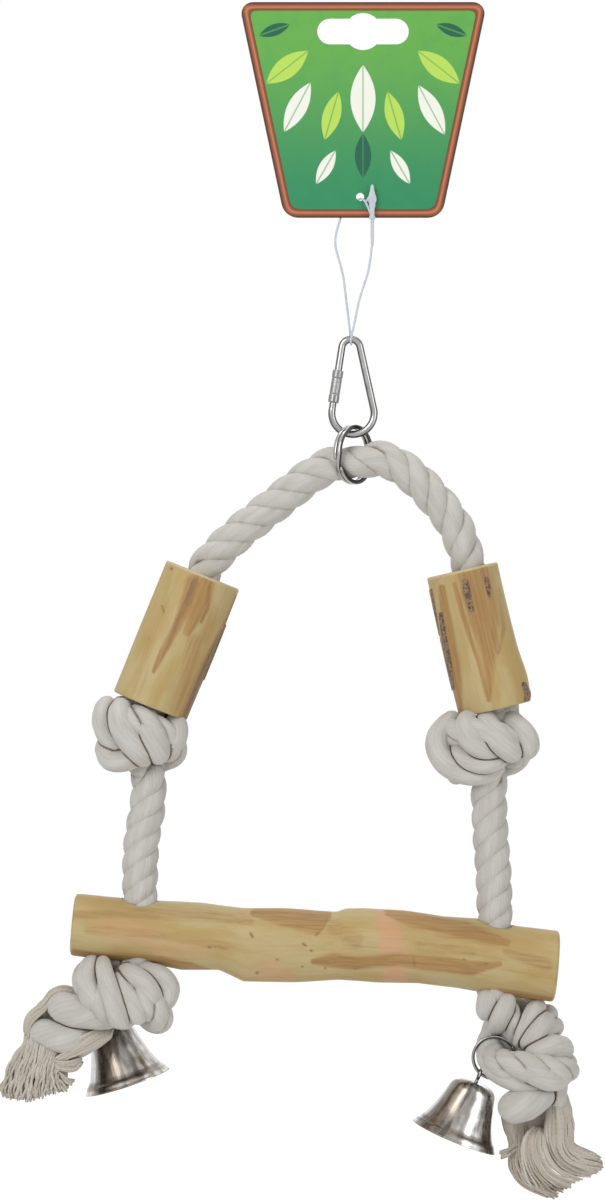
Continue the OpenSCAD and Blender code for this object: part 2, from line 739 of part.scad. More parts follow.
module bell()
{
    outer = smooth([for (i = [0 : len(bell_drop_shares) - 1])
        [bell_out_shares[i] * bell_rim_d / 2, -bell_drop_shares[i] * bell_h]], 2);
    ways = directions(outer);
    inner = [for (i = [len(outer) - 1 : -1 : 0])
        outer[i] - [-ways[i][1], ways[i][0]] * bell_wall];
    crown_hole_r = hanger_r + hanger_fit;
    translate([0, 0, -crown_drop]) difference()
    {
        rotate_extrude($fn = large_fn)
            polygon(concat([[0, 0]], outer, inner, [[0, -bell_wall]]));
        translate([0, 0, -cut - bell_wall]) cylinder(r = crown_hole_r, h = bell_wall + cut * 2,
                                                     $fn = fine_fn);
    }
}
// The wire that carries a bell: an eye round the ring, a shank through the crown and an
// eye within for the clapper. "turned" lays the upper eye square to the ring's wire
module bell_hanger(turned)
{
    shank_from = eye_drop + eye_r;
    shank_to = inner_eye_drop - inner_eye_r;
    union()
    {
        translate([0, 0, -eye_drop]) rotate([0, 0, turned]) wire_ring(eye_r, hanger_wire_d);
        translate([0, 0, -shank_to])
            cylinder(r = hanger_r, h = shank_to - shank_from, $fn = fine_fn);
        translate([0, 0, -inner_eye_drop]) rotate([0, 0, 90])
            wire_ring(inner_eye_r, hanger_wire_d);
    }
}
// A clapper hangs straight down from the lower side of the bell's inner eye
clapper_wire_d = 0.8;
clapper_eye_r = 1.35;
clapper_eye_drop = 0.2;
clapper_len = 8;
module clapper()
{
    color(steel) union()
    {
        translate([0, 0, -clapper_eye_drop]) wire_ring(clapper_eye_r, clapper_wire_d);
        translate([0, 0, -clapper_len])
            cylinder(d = clapper_wire_d, h = clapper_len - clapper_eye_drop - clapper_eye_r,
                     $fn = fine_fn);
        translate([0, 0, -clapper_len]) sphere(d = clapper_d, $fn = fine_fn);
    }
}
clapper_pivot = [0, -inner_eye_drop - inner_eye_r];
left_clapper_pivot = left_hang + leaned(clapper_pivot, left_bell_lean);
right_clapper_pivot = right_hang + leaned(clapper_pivot, right_bell_lean);

module left_bell() { color(steel) on_left_bell() bell(); }
module right_bell() { color(steel) on_right_bell() bell(); }
module left_bell_hanger() { color(steel) on_left_bell() bell_hanger(0); }
module right_bell_hanger() { color(steel) on_right_bell() bell_hanger(90); }
module left_clapper() { translate(at(left_clapper_pivot, left_ring_back)) clapper(); }
module right_clapper() { translate(at(right_clapper_pivot)) clapper(); }

header_card();
tag_loop();
link_body();
link_sleeve();
rope_ring();
arch_rope();
left_block();
right_block();
left_upper_knot();
right_upper_knot();
left_drop_rope();
right_drop_rope();
perch();
left_lower_knot();
right_lower_knot();
left_tassel();
right_tassel();
left_bell_ring();
left_bell_hanger();
left_bell();
left_clapper();
right_bell_ring();
right_bell_hanger();
right_bell();
right_clapper();

// Least clear gap of the nylon loop to itself
loop_far_points = 10;
echo(loop_gap = least_gap(loop_curve(), loop_far_points) - filament_d);
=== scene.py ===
"""Looks of a hanging bird swing: laid cotton rope with its knots and frayed ends, peeled
branch wood, bright steel wire and bells, a nylon loop and a printed header card.

Lengths are in millimetres up to the moment a mesh is made, and +X is right, -Y the front
and +Z up, as in the frame. The camera comes first, then curves and meshes, the materials,
the measures, and the pieces from the rope to the card. Places (x, z) or (x, z, y) of the
photograph are its pixels across and down, with y in millimetres behind the swing's plane."""
import json
import math
import bpy
import numpy as np
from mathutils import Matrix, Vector


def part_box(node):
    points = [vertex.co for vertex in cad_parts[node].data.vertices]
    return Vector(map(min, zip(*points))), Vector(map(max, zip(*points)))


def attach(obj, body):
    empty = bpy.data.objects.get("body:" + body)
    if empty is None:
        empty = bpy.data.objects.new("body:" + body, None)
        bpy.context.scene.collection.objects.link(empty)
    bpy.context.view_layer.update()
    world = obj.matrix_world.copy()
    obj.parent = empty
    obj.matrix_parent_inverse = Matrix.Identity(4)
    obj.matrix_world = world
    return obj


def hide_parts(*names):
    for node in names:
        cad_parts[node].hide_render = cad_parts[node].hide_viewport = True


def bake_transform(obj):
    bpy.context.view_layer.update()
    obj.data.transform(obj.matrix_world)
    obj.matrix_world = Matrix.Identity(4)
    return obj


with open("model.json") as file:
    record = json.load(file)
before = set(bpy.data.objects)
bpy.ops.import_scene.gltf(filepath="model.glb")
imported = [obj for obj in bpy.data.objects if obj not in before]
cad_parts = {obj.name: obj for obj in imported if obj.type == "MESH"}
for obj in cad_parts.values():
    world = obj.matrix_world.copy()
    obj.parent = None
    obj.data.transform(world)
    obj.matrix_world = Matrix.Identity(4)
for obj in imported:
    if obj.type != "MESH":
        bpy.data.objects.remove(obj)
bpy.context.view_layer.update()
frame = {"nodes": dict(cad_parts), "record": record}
MM = 0.001
RIGHT, BACK, UP = np.eye(3)
joints = {joint["name"]: joint for joint in frame["record"]["behaviour"]["joints"]}


def pivot(name):
    """A joint's place in millimetres."""
    return np.array(joints[name]["pos_m"]) / MM


def axis_of(name):
    """A joint's axis as a unit vector."""
    way = np.array(joints[name]["axis"], float)
    return way / np.linalg.norm(way)


def box_of(name):
    """The two corners of a CAD piece's box in millimetres."""
    return np.array(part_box(name)) / MM


# ---------------------------------------------------------------- camera
PHOTO_SCALE = 0.35                      # millimetres a pixel of the photograph
PHOTO_SIZE = (605, 1200)
PEG_PIXEL = (363, 13)                   # where the origin shows
CAMERA_AWAY = 1500.0


def seen_at(x, z, y=0.0):
    """A place of the photograph as a point in millimetres."""
    return np.array([(x - PEG_PIXEL[0]) * PHOTO_SCALE, y, (PEG_PIXEL[1] - z) * PHOTO_SCALE])


def pixel_of(points):
    """Where points in millimetres show in the photograph: the pixels across and down."""
    return points[..., 0] / PHOTO_SCALE + PEG_PIXEL[0], PEG_PIXEL[1] - points[..., 2] / PHOTO_SCALE


def make_camera():
    """A long lens that frames the whole photograph, level with its middle."""
    data = bpy.data.cameras.new("camera")
    data.sensor_fit, data.sensor_height = "VERTICAL", 36.0
    data.lens = data.sensor_height * CAMERA_AWAY / (PHOTO_SIZE[1] * PHOTO_SCALE)
    data.clip_end = 20.0
    camera = bpy.data.objects.new("camera", data)
    bpy.context.scene.collection.objects.link(camera)
    middle = seen_at(PHOTO_SIZE[0] / 2, PHOTO_SIZE[1] / 2)
    camera.location = [v * MM for v in (middle[0], -CAMERA_AWAY, middle[2])]
    camera.rotation_euler = (math.pi / 2, 0, 0)
    bpy.context.scene.camera = camera


make_camera()


# ---------------------------------------------------------------- curves and frames
def unit(v):
    """Rows of vectors at length one."""
    return v / np.linalg.norm(v, axis=-1, keepdims=True)


def circle(count):
    """Even angles round a circle."""
    return np.arange(count) * 2 * np.pi / count


def eased(t):
    """A smooth step: t^2 (3 - 2 t), with t held between 0 and 1."""
    t = np.clip(t, 0, 1)
    return t ** 2 * (3 - 2 * t)


def leaning(degrees):
    """The directions right and up after a lean, clockwise from the front."""
    a = math.radians(degrees)
    return np.array([math.cos(a), 0, -math.sin(a)]), np.array([math.sin(a), 0, math.cos(a)])


def smooth(route, steps=12):
    """A Catmull-Rom curve through every point of a route, with some steps a stretch."""
    p = np.vstack([route[0], route, route[-1]])
    a, b, c, d = p[:-3, None], p[1:-2, None], p[2:-1, None], p[3:, None]
    t = (np.arange(steps) / steps)[None, :, None]
    line = (2 * b + (c - a) * t + (2 * a - 5 * b + 4 * c - d) * t ** 2
            + (3 * b - a - 3 * c + d) * t ** 3) / 2
    return np.vstack([line.reshape(-1, p.shape[1]), route[-1]])


def lengths(line):
    """Length along a line at each of its points."""
    return np.r_[0, np.cumsum(np.linalg.norm(np.diff(line, axis=0), axis=1))]


def points_at(line, at, run):
    """A line's points at some of its lengths, where run is its length at each point."""
    return np.stack([np.interp(at, run, line[:, i]) for i in range(3)], axis=1)


def spaced(line, gap):
    """The same line with points at an even gap, and its length at each of them."""
    run = lengths(line)
    at = np.linspace(0, run[-1], max(int(round(run[-1] / gap)), 2) + 1)
    return points_at(line, at, run), at


def ways(line):
    """Unit directions along a line."""
    return unit(np.gradient(line, axis=0))


def frames(line, first=BACK):
    """Directions along a line, and two sides that are carried along it without twist, by
    reflecting each side twice into the next point's."""
    along = ways(line)
    side = np.empty_like(line)
    start = np.array(first) - along[0] * np.dot(first, along[0])
    side[0] = start / np.linalg.norm(start)
    for i in range(len(line) - 1):
        step = line[i + 1] - line[i]
        size = step @ step
        flipped = side[i] - step * (2 * (step @ side[i]) / size)
        turned = along[i] - step * (2 * (step @ along[i]) / size)
        off = along[i + 1] - turned
        size = off @ off
        side[i + 1] = flipped - off * (2 * (off @ flipped) / size) if size > 1e-12 else flipped
    return along, side, np.cross(along, side)


# ---------------------------------------------------------------- meshes
def build(name, grids, material, body, loops=False, stands_for=()):
    """One piece from grids of points, each (rings, sides, 3) and closed round its sides.
    The two ends of a grid are closed by a fan, or with loops its last ring meets its
    first. A grid is a dict: points, and any values for each point by name."""
    spots, faces, sizes, values, base = [], [], [], {}, 0
    for grid in grids:
        p = grid["points"]
        n, m = p.shape[:2]
        spots.append(p.reshape(-1, 3))
        i, k = np.arange(n if loops else n - 1)[:, None], np.arange(m)[None, :]
        here, there = i * m, (i + 1) % n * m
        quads = np.stack([here + k, here + (k + 1) % m, there + (k + 1) % m, there + k], -1)
        faces.append(quads.reshape(-1) + base)
        sizes.append(np.full(quads.shape[0] * m, 4))
        for key, value in grid.items():
            if key != "points":
                values.setdefault(key, []).append(np.asarray(value, float).reshape(n * m, -1))
        if not loops:
            hub = base + n * m
            spots.append(np.stack([p[0].mean(0), p[-1].mean(0)]))
            for ring, middle, turn in ((0, hub, -1), (n - 1, hub + 1, 1)):
                edge = np.stack([ring * m + np.arange(m), ring * m + (np.arange(m) + 1) % m][::turn], -1)
                faces.append(np.column_stack([edge + base, np.full(m, middle)]).reshape(-1))
                sizes.append(np.full(m, 3))
            for rows in values.values():
                v = rows[-1].reshape(n, m, -1)
                rows.append(np.stack([v[0].mean(0), v[-1].mean(0)]))
            base += 2
        base += n * m
    return place(name, np.vstack(spots), np.concatenate(faces), np.concatenate(sizes),
                 {k: np.vstack(v) for k, v in values.items()}, material, body, stands_for)


def place(name, spots, corners, sizes, values, material, body, stands_for=()):
    """A mesh object in the frame from points, face corners and face sizes."""
    mesh = bpy.data.meshes.new(name)
    mesh.vertices.add(len(spots))
    mesh.vertices.foreach_set("co", (spots * MM).astype(np.float32).ravel())
    mesh.loops.add(len(corners))
    mesh.loops.foreach_set("vertex_index", corners.astype(np.int32))
    mesh.polygons.add(len(sizes))
    mesh.polygons.foreach_set("loop_start", np.r_[0, np.cumsum(sizes)[:-1]].astype(np.int32))
    mesh.polygons.foreach_set("use_smooth", np.ones(len(sizes), bool))
    for key, value in values.items():
        kind, slot_name = ("FLOAT", "value") if value.shape[1] == 1 else ("FLOAT_VECTOR", "vector")
        field = mesh.attributes.new(key, kind, "POINT")
        field.data.foreach_set(slot_name, value.astype(np.float32).ravel())
    mesh.update(calc_edges=True)
    mesh.validate()
    piece = bpy.data.objects.new(name, mesh)
    bpy.context.scene.collection.objects.link(piece)
    mesh.materials.append(material)
    if body:
        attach(piece, body)
    if stands_for:
        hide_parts(*stands_for)
    return piece


def tube_grid(line, radius, sides, first=BACK):
    """Rings of points round a line: centre + radius (cos a side + sin a other side).
    The radius is one number, one a ring, or one a ring and side."""
    _, side, other = frames(line, first)
    a = circle(sides)[None, :, None]
    r = np.broadcast_to(np.asarray(radius, float).reshape(len(np.atleast_1d(radius)), -1),
                        (len(line), sides))[..., None]
    return line[:, None] + r * (np.cos(a) * side[:, None] + np.sin(a) * other[:, None])


# ---------------------------------------------------------------- materials
def shade(red, green, blue):
    """A colour as it looks on a screen, from 0 to 1, as a shader's colour."""
    return (*[v / 12.92 if v <= 0.04045 else ((v + 0.055) / 1.055) ** 2.4 for v in (red, green, blue)], 1.0)


class Value:
    """A node's output. Arithmetic on it adds the maths node that works the result out."""

    def __init__(self, finish, socket):
        self.finish, self.socket = finish, socket

    def __add__(self, other):
        return self.finish.maths("ADD", self, other)

    def __sub__(self, other):
        return self.finish.maths("SUBTRACT", self, other)

    def __rsub__(self, other):
        return self.finish.maths("SUBTRACT", other, self)

    def __mul__(self, other):
        return self.finish.maths("MULTIPLY", self, other)

    def __truediv__(self, other):
        return self.finish.maths("DIVIDE", self, other)

    def __pow__(self, other):
        return self.finish.maths("POWER", self, other)

    def __abs__(self):
        return self.finish.maths("ABSOLUTE", self)


class Finish:
    """A material or world, and short ways to add its nodes."""

    def __init__(self, name, world=None, **sockets):
        self.material = world or bpy.data.materials.new(name)
        self.material.use_nodes = True
        self.nodes, self.links = self.material.node_tree.nodes, self.material.node_tree.links
        self.shader = self.nodes.get("Principled BSDF")
        for key, value in sockets.items():
            self.shader.inputs[key.replace("_", " ")].default_value = value

    def feed(self, socket, value):
        """Gives a socket a value, or a link from another node's."""
        if isinstance(value, Value):
            self.links.new(value.socket, socket)
        elif value is not None:
            socket.default_value = value

    def value(self, kind, *inputs, output=0, **settings):
        """An output of a new node, with its inputs in their order."""
        made = self.nodes.new("ShaderNode" + kind)
        for key, value in settings.items():
            setattr(made, key, value)
        for socket, value in zip(made.inputs, inputs):
            self.feed(socket, value)
        return Value(self, made.outputs[output])

    def maths(self, operation, *inputs):
        """The result of a maths node."""
        return self.value("Math", *inputs, operation=operation)

    def share(self, name):
        """A number of the mesh's own, by name."""
        return self.value("Attribute", output="Fac", attribute_name=name)

    def vector(self, name):
        """A vector of the mesh's own, by name."""
        return self.value("Attribute", output="Vector", attribute_name=name)

    def object_place(self):
        """The place in the object, in metres."""
        return self.value("TexCoord", output="Object")

    def parts(self, vector):
        """A vector's x, y and z."""
        made = self.value("SeparateXYZ", vector).socket.node
        return [Value(self, socket) for socket in made.outputs]

    def turn(self, vector):
        """The turn whose cosine and sine are a vector's x and y, and the vector's z."""
        x, y, z = self.parts(vector)
        return self.maths("ARCTAN2", y, x), z

    def stretch(self, vector, *scale):
        """A vector with its x, y and z scaled."""
        return self.value("VectorMath", vector, scale, operation="MULTIPLY")

    def noise(self, vector, scale, detail=3.0, rough=0.5):
        """Cloudy noise at a place, around 0.5."""
        return self.value("TexNoise", vector, None, scale, detail, rough, output="Fac")

    def spread(self, value, low, high, start, end, kind="LINEAR"):
        """The value's way from low to high, as one from start to end."""
        return self.value("MapRange", value, low, high, start, end, interpolation_type=kind)

    def between(self, value, low, high):
        """The value's way from low to high, smoothly from 0 to 1."""
        return self.spread(value, low, high, 0.0, 1.0, "SMOOTHSTEP")

    def mix(self, share, one, two):
        """Colour one, or two as far as the share goes."""
        made = self.value("Mix", share, output=2, data_type="RGBA")
        self.feed(made.socket.node.inputs[6], one)
        self.feed(made.socket.node.inputs[7], two)
        return made

    def bump(self, height, strength, distance_mm):
        """Bumps the surface by a height from 0 to 1 that stands for a distance."""
        made = self.value("Bump")
        for key, value in (("Height", height), ("Strength", strength), ("Distance", distance_mm * MM)):
            self.feed(made.socket.node.inputs[key], value)
        self.feed(self.shader.inputs["Normal"], made)

    def roughness(self, value):
        """Gives the shader its roughness."""
        self.feed(self.shader.inputs["Roughness"], value)

    def colour(self, value):
        """Gives the shader its colour, and hands back the material."""
        self.feed(self.shader.inputs["Base Color"], value)
        return self.material


YARNS_A_STRAND = 16
FIBRE = dict(Roughness=0.95, Sheen_Weight=0.15, Sheen_Roughness=0.6)


def cotton():
    """Cotton strands. The mesh gives "yarn", the turn of the yarns about the strand as a
    cosine and sine with the length along it, and "crown", 1 on the rope's outside and less
    down in the grooves, where painted shade turns the cotton tan and then dark."""
    it = Finish("cotton", **FIBRE)
    yarn = it.vector("yarn")
    ridge = it.maths("COSINE", it.turn(yarn)[0] * YARNS_A_STRAND)
    wool = it.noise(it.stretch(yarn, 3.2, 3.2, 0.25), 2.4, 4.0, 0.65)
    blotch = it.noise(it.stretch(yarn, 1.0, 1.0, 0.08), 1.3)
    crown = it.share("crown") + (blotch - 0.5) * 0.16
    pale = it.mix(it.between(blotch, 0.3, 0.7), shade(0.745, 0.73, 0.70), shade(0.79, 0.78, 0.762))
    fine = ridge * 0.35 + wool * 1.5
    patterned = it.mix(it.between(fine, 0.75, 0.25) * 0.22, pale, shade(0.68, 0.64, 0.58))
    # Painted shade: tan and then dark down in the grooves and in the creases of knots, by the crown
    tan = it.mix(it.between(crown, 0.74, 0.90), shade(0.54, 0.48, 0.395), patterned)
    it.bump(fine, 0.24, 0.35)
    return it.colour(it.mix(it.between(crown, 0.61, 0.725), shade(0.27, 0.22, 0.17), tan))


def loose_yarn():
    """Loose cotton yarns, each with its own "tint", which also carries painted shade, and a fine twist
    round its length.
    """
    it = Finish("loose_yarn", **FIBRE)
    turn, run = it.turn(it.vector("yarn"))
    it.bump(it.maths("COSINE", turn * 2.0 + run * 3.6), 0.4, 0.12)
    return it.colour(it.mix(it.share("tint"), shade(0.67, 0.62, 0.54), shade(0.80, 0.775, 0.74)))


def branch_wood(name):
    """Peeled branch. The mesh gives "grain", a place in millimetres with z along the branch,
    and the shares "stain", "bark", "blush" and "cut", which is 1 on a sawn end."""
    it = Finish(name, Roughness=0.6)
    grain, bark_share = it.vector("grain"), it.share("bark")
    streaks = it.noise(it.stretch(grain, 0.6, 0.6, 0.03), 1.5, 6.0, 0.62)
    broad = it.noise(it.stretch(grain, 0.13, 0.13, 0.035), 1.0, 4.0, 0.55)
    fine = it.noise(it.stretch(grain, 4.0, 4.0, 0.22), 1.0, 4.0, 0.65)
    wood = it.mix(it.between(broad, 0.36, 0.66), shade(0.73, 0.66, 0.475), shade(0.70, 0.59, 0.365))
    wood = it.mix(it.between(streaks, 0.52, 0.74) * 0.45, wood, shade(0.66, 0.53, 0.33))
    wood = it.mix(it.between(fine, 0.52, 0.76) * 0.22, wood, shade(0.58, 0.46, 0.30))
    wood = it.mix(it.share("blush") * 0.72, wood, shade(0.80, 0.59, 0.46))
    ragged = it.share("stain") + (streaks - 0.5) * 0.55 + (fine - 0.5) * 0.3
    tone = it.mix(it.between(streaks, 0.30, 0.70), shade(0.68, 0.53, 0.315), shade(0.585, 0.435, 0.25))
    tone = it.mix(it.between(ragged, 0.95, 1.6), tone, shade(0.40, 0.28, 0.17))
    wood = it.mix(it.between(ragged, 0.10, 0.90) * 0.92, wood, tone)
    scaly = it.noise(grain, 0.9, 5.0, 0.7)
    bark = it.mix(it.between(scaly, 0.38, 0.62), shade(0.25, 0.17, 0.10), shade(0.60, 0.48, 0.36))
    wood = it.mix(it.between(bark_share + (scaly - 0.5) * 0.8, 0.40, 0.56), wood, bark)
    sawn = it.noise(grain, 1.4, 5.0, 0.7)
    radius = it.value("VectorMath", it.stretch(grain, 1.0, 1.0, 0.0), output="Value", operation="LENGTH")
    rings = it.maths("SINE", radius * 5.2 + sawn * 5.0)
    end = it.mix(it.between(rings, -0.4, 1.0), shade(0.76, 0.70, 0.54), shade(0.69, 0.60, 0.42))
    end = it.mix(it.between(sawn, 0.5, 0.75), end, shade(0.62, 0.52, 0.35))
    it.bump(fine * 0.6 + streaks * 0.5 + bark_share * scaly * 2.4, 0.5, 0.35)
    return it.colour(it.mix(it.share("cut"), wood, end))


def plated(name, tone, rough):
    """Bright plated steel with a few duller clouds. The mesh may give "brush_and_reflection", the turn
    about the wire as a cosine and sine: the wire is painted bright along two lines and duller between them,
    a painted reflection."""
    it = Finish(name, Metallic=1.0, Roughness=rough)
    clouds = it.noise(it.object_place(), 260.0)
    it.roughness(it.spread(clouds, 0.3, 0.75, rough * 0.7, rough * 1.5))
    # Painted reflection: lighter along two lines of the wire and darker between them
    bright = it.maths("COSINE", it.turn(it.vector("brush_and_reflection"))[0] * 2.0) + clouds
    dull, clear = (shade(*[v * k for v in tone]) for k in (0.55, 1.22))
    return it.colour(it.mix(it.between(bright, 0.0, 1.6), dull, clear))


def with_reflection_turn(points):
    """Gives a wire's surface the turn about it, as its cosine and sine, which places the painted reflection
    lines of its steel.
    """
    a = circle(points.shape[1])
    brush_and_reflection = np.stack([np.cos(a), np.sin(a), 0 * a], 1)
    return {"points": points, "brush_and_reflection": np.broadcast_to(brush_and_reflection, points.shape)}


def nylon():
    """Clear nylon, a little milky and bluish."""
    it = Finish("clear_nylon", Roughness=0.35, Transmission_Weight=0.12, IOR=1.5)
    cloudy = it.noise(it.object_place(), 300.0, 2.0)
    return it.colour(it.mix(cloudy, shade(0.76, 0.79, 0.83), shade(0.84, 0.87, 0.90)))


# ---------------------------------------------------------------- measures
ROPE_R = 6.35
ROPE_TUCKED_R, TUCK_REACH = 6.15, 4.0   # inside a bore, and how far out of it that is felt
ROPE_KNOT_R, KNOT_REACH = 5.3, 6.0      # in a knot
ROPE_WAIST_R = 4.9                      # where the CAD's rope lies in the ring
WAIST_SHARE, WAIST_FLAT, WAIST_SWELL = 0.925, 2.5, 6.0
ARCH_LAY, DROP_LAY = 27.5, 22.0
LAY_FROM, LAY_OVER = 40, 60             # the lay changes from this height above the swing axis
STRAND_OUT_SHARE, STRAND_R_SHARE, STRAND_WIDE_SHARE = 0.53, 0.48, 0.56
YARN_RIDGE = 0.012
ROPE_LEAD = 4.0
BLOCK_LENGTHS = (49.5, 50.0)
BLOCK_RADII = (13.6, 12.6)
DROPS_ASIDE = (0.7, 4.4)                # how far left of its block's mouth a drop rope hangs
RIGHT_BORE_OFF = 2.5
BORE_R = 6.3
PERCH_R, PERCH_LENGTH, PERCH_LEAN = 11.0, 170.0, 5
PERCH_HOLE_IN, PERCH_HOLES_APART, PERCH_HOLE_R = 23.5, 125.0, 6.35
KNOT_FOOT_ABOVE = 6.3
FOOT_SHARE = 1.15
# A roll's crown, and the depth and width of the painted shade in its creases
ROLL_CROWN, CREASE_SHADE, CREASE_WIDE = 0.96, 0.36, 0.45
KNIFE_CUTS = 16

rope_top = pivot("arch_rock") + [0, 0, ROPE_WAIST_R]
mouths = [pivot("left_block_turn"), pivot("right_block_turn")]
ups = [axis_of("left_block_turn"), axis_of("right_block_turn")]
swing_z = pivot("perch_swing")[2]
drop_x = [mouth[0] - aside for mouth, aside in zip(mouths, DROPS_ASIDE)]
perch_way, perch_up = leaning(PERCH_LEAN)
perch_hole_left = np.array([drop_x[0] - 3.0, 0, swing_z - 48.5])
perch_holes = [perch_hole_left, perch_hole_left + perch_way * PERCH_HOLES_APART]
feet = [hole - [0, 0, PERCH_R * FOOT_SHARE] for hole in perch_holes]


def off(x, z, y=0.0):
    """A step in the swing's own plane."""
    return np.array([x, y, z])


# ---------------------------------------------------------------- the rope's route
ARCH_LEFT = [(-45.5, -29.5), (-39, -23.5), (-31.5, -17.5), (-24.5, -12), (-17, -6), (-10, -1.5), (-5, 0)]
ARCH_RIGHT = [(5, 0.9), (10.5, 1.4), (17, -1.8), (23, -6.7), (28, -12), (32.5, -17.5), (36.5, -24)]
DROPS = ([(-0.3, -6), (-2, -15), (-2.8, -26)], [(0.2, -6), (0.8, -18), (1.8, -32)])


def knot_turns(centre, lean, turned, across, flat, points=17):
    """The winding of an overhand knot. With s from -1 to 1 it lies 1.35 sin(180 s) along the
    knot's axis and r = 1.1 - 0.5 s^4 away from it, at an angle of 180 + 240 s."""
    s = np.linspace(-1, 1, points)
    r, a = 1.1 - 0.5 * s ** 4, np.radians(180 + 240 * s)
    own = np.stack([1.35 * np.sin(np.pi * s) * flat, r * np.cos(a), r * np.sin(a)], 1) * across
    right, up = leaning(lean)
    turned = math.radians(turned)
    one = right * math.cos(turned) - BACK * math.sin(turned)
    two = -BACK * math.cos(turned) - right * math.sin(turned)
    return centre + own[:, :1] * up + own[:, 1:2] * one + own[:, 2:] * two


left_foot, right_foot = feet[0] + off(-5.8, -10.6), feet[1] + off(10.5, -16.5)
left_tail, right_tail = left_foot + off(-12.5, -7.5), right_foot + off(2, -16.5)
knots = {
    "left_upper": knot_turns(mouths[0] + off(-3.2, -12.2), 18, 180, 10.3, 0.5),
    "right_upper": knot_turns(mouths[1] + off(-6.4, -14.8), -6, 195, 11, 0.5),
    "left_lower": knot_turns(left_foot, 78, 88, 9.3, 0.86),
    "right_lower": knot_turns(right_foot, -10, 320, 11.5, 0.68),
}
# In the right lower knot one winding goes through the bell's ring, from the front to behind it
knots["right_lower"][7:12] = [seen_at(515, 1062, -11.9), seen_at(499, 1061, -7), seen_at(491, 1056, 0.5),
                              seen_at(494, 1041, 8), seen_at(502, 1027, 11)]


def in_block(i, shares):
    """Points on a block's bore, at shares of its length from its lower mouth."""
    return [mouths[i] + ups[i] * BLOCK_LENGTHS[i] * k for k in shares]


def rope_route():
    """The rope from its left tail over the arch to its right tail, as one list of points,
    and the point at which each stretch of it ends."""
    def drop(side):
        """A drop rope's points from its knot down to the perch's underside."""
        top = np.array([drop_x[side], 0, swing_z])
        return [top + off(0, KNOT_FOOT_ABOVE), top, *[top + off(*p) for p in DROPS[side]],
                perch_holes[side], feet[side]]

    block = [in_block(i, (0, 0.5, 1)) for i in (0, 1)]
    lead = [block[i][-1] + ups[i] * ROPE_LEAD for i in (0, 1)]
    below = [mouths[i] - ups[i] * ROPE_LEAD for i in (0, 1)]
    stretches = [
        ("left_lower_knot", [left_tail, *knots["left_lower"][::-1]]),
        ("left_drop_rope", drop(0)[::-1]),
        ("left_upper_knot", [*knots["left_upper"][::-1], below[0]]),
        ("arch_rope", [*block[0], lead[0], *[rope_top + off(*p) for p in ARCH_LEFT], rope_top,
                       *[rope_top + off(*p) for p in ARCH_RIGHT], lead[1], *block[1][::-1]]),
        ("right_upper_knot", [below[1], *knots["right_upper"]]),
        ("right_drop_rope", drop(1)),
        ("right_lower_knot", [*knots["right_lower"], right_tail]),
    ]
    points, ends = [], {}
    for name, some in stretches:
        points += some
        ends[name] = len(points)
    return np.array(points), ends


def rope_radius(line):
    """The rope's radius: drawn in where the ring holds it, where a knot pulls it and where a
    bore holds it, by the clipped way to the nearest such place."""
    def near(spots):
        """How far each point of the line is from the nearest of some spots."""
        return np.linalg.norm(line[:, None] - np.array(spots)[None], axis=2).min(1)

    past = (np.linalg.norm(line - rope_top, axis=1) - WAIST_FLAT) / WAIST_SWELL
    radius = ROPE_R * (WAIST_SHARE + (1 - WAIST_SHARE) * eased(past))
    for turns in knots.values():
        radius = radius - (ROPE_R - ROPE_KNOT_R) * np.clip(1.6 - near(turns[1:-1]) / KNOT_REACH, 0, 1)
    tucked = in_block(0, np.linspace(0, 1, 12)) + in_block(1, np.linspace(0, 1, 12))
    tucked += [hole + [0, 0, k] for hole in perch_holes for k in np.linspace(-PERCH_R, PERCH_R, 6)]
    return radius - (ROPE_R - ROPE_TUCKED_R) * np.clip(2 - near(tucked) / TUCK_REACH, 0, 1)


def lay_turn(line, run):
    """The strands' turn about the rope: the run divided by the lay, which is shorter on the
    drop ropes than on the arch and changes over the 60 mm about the upper knots."""
    low = np.clip((swing_z + LAY_FROM - line[:, 2]) / LAY_OVER, 0, 1)
    rate = 2 * np.pi / (ARCH_LAY + (DROP_LAY - ARCH_LAY) * low)
    return np.r_[0, np.cumsum((rate[1:] + rate[:-1]) / 2 * np.diff(run))]


def wound(turn, run):
    """The value "yarn": the cosine and sine of the yarns' turn, and the length along them."""
    return np.stack([np.cos(turn), np.sin(turn), np.broadcast_to(run[:, None], turn.shape)], -1)


def strand_grid(line, run, radius, side, other, turn, sides=40):
    """One strand of the laid rope. It winds about the rope's line with a right-hand turn, and
    its round section is a little wider across than out from the rope."""
    out = side * np.cos(turn)[:, None] + other * np.sin(turn)[:, None]
    middle = line + out * (radius * STRAND_OUT_SHARE)[:, None]
    along = ways(middle)
    out = unit(out - along * (out * along).sum(1, keepdims=True))
    across = np.cross(along, out)
    a = circle(sides)
    yarn_turn = a[None, :] + 2.0 * turn[:, None]
    ridge = radius[:, None] * (1 + YARN_RIDGE * np.cos(yarn_turn * YARNS_A_STRAND))
    p = (middle[:, None] + out[:, None] * (STRAND_R_SHARE * np.cos(a) * ridge)[..., None]
         + across[:, None] * (STRAND_WIDE_SHARE * np.sin(a) * ridge)[..., None])
    # How far out of the rope each point lies, by which the cotton paints shade into the grooves
    crown = np.linalg.norm(p - line[:, None], axis=2) / radius[:, None]
    return {"points": p, "yarn": wound(yarn_turn, run), "crown": crown}


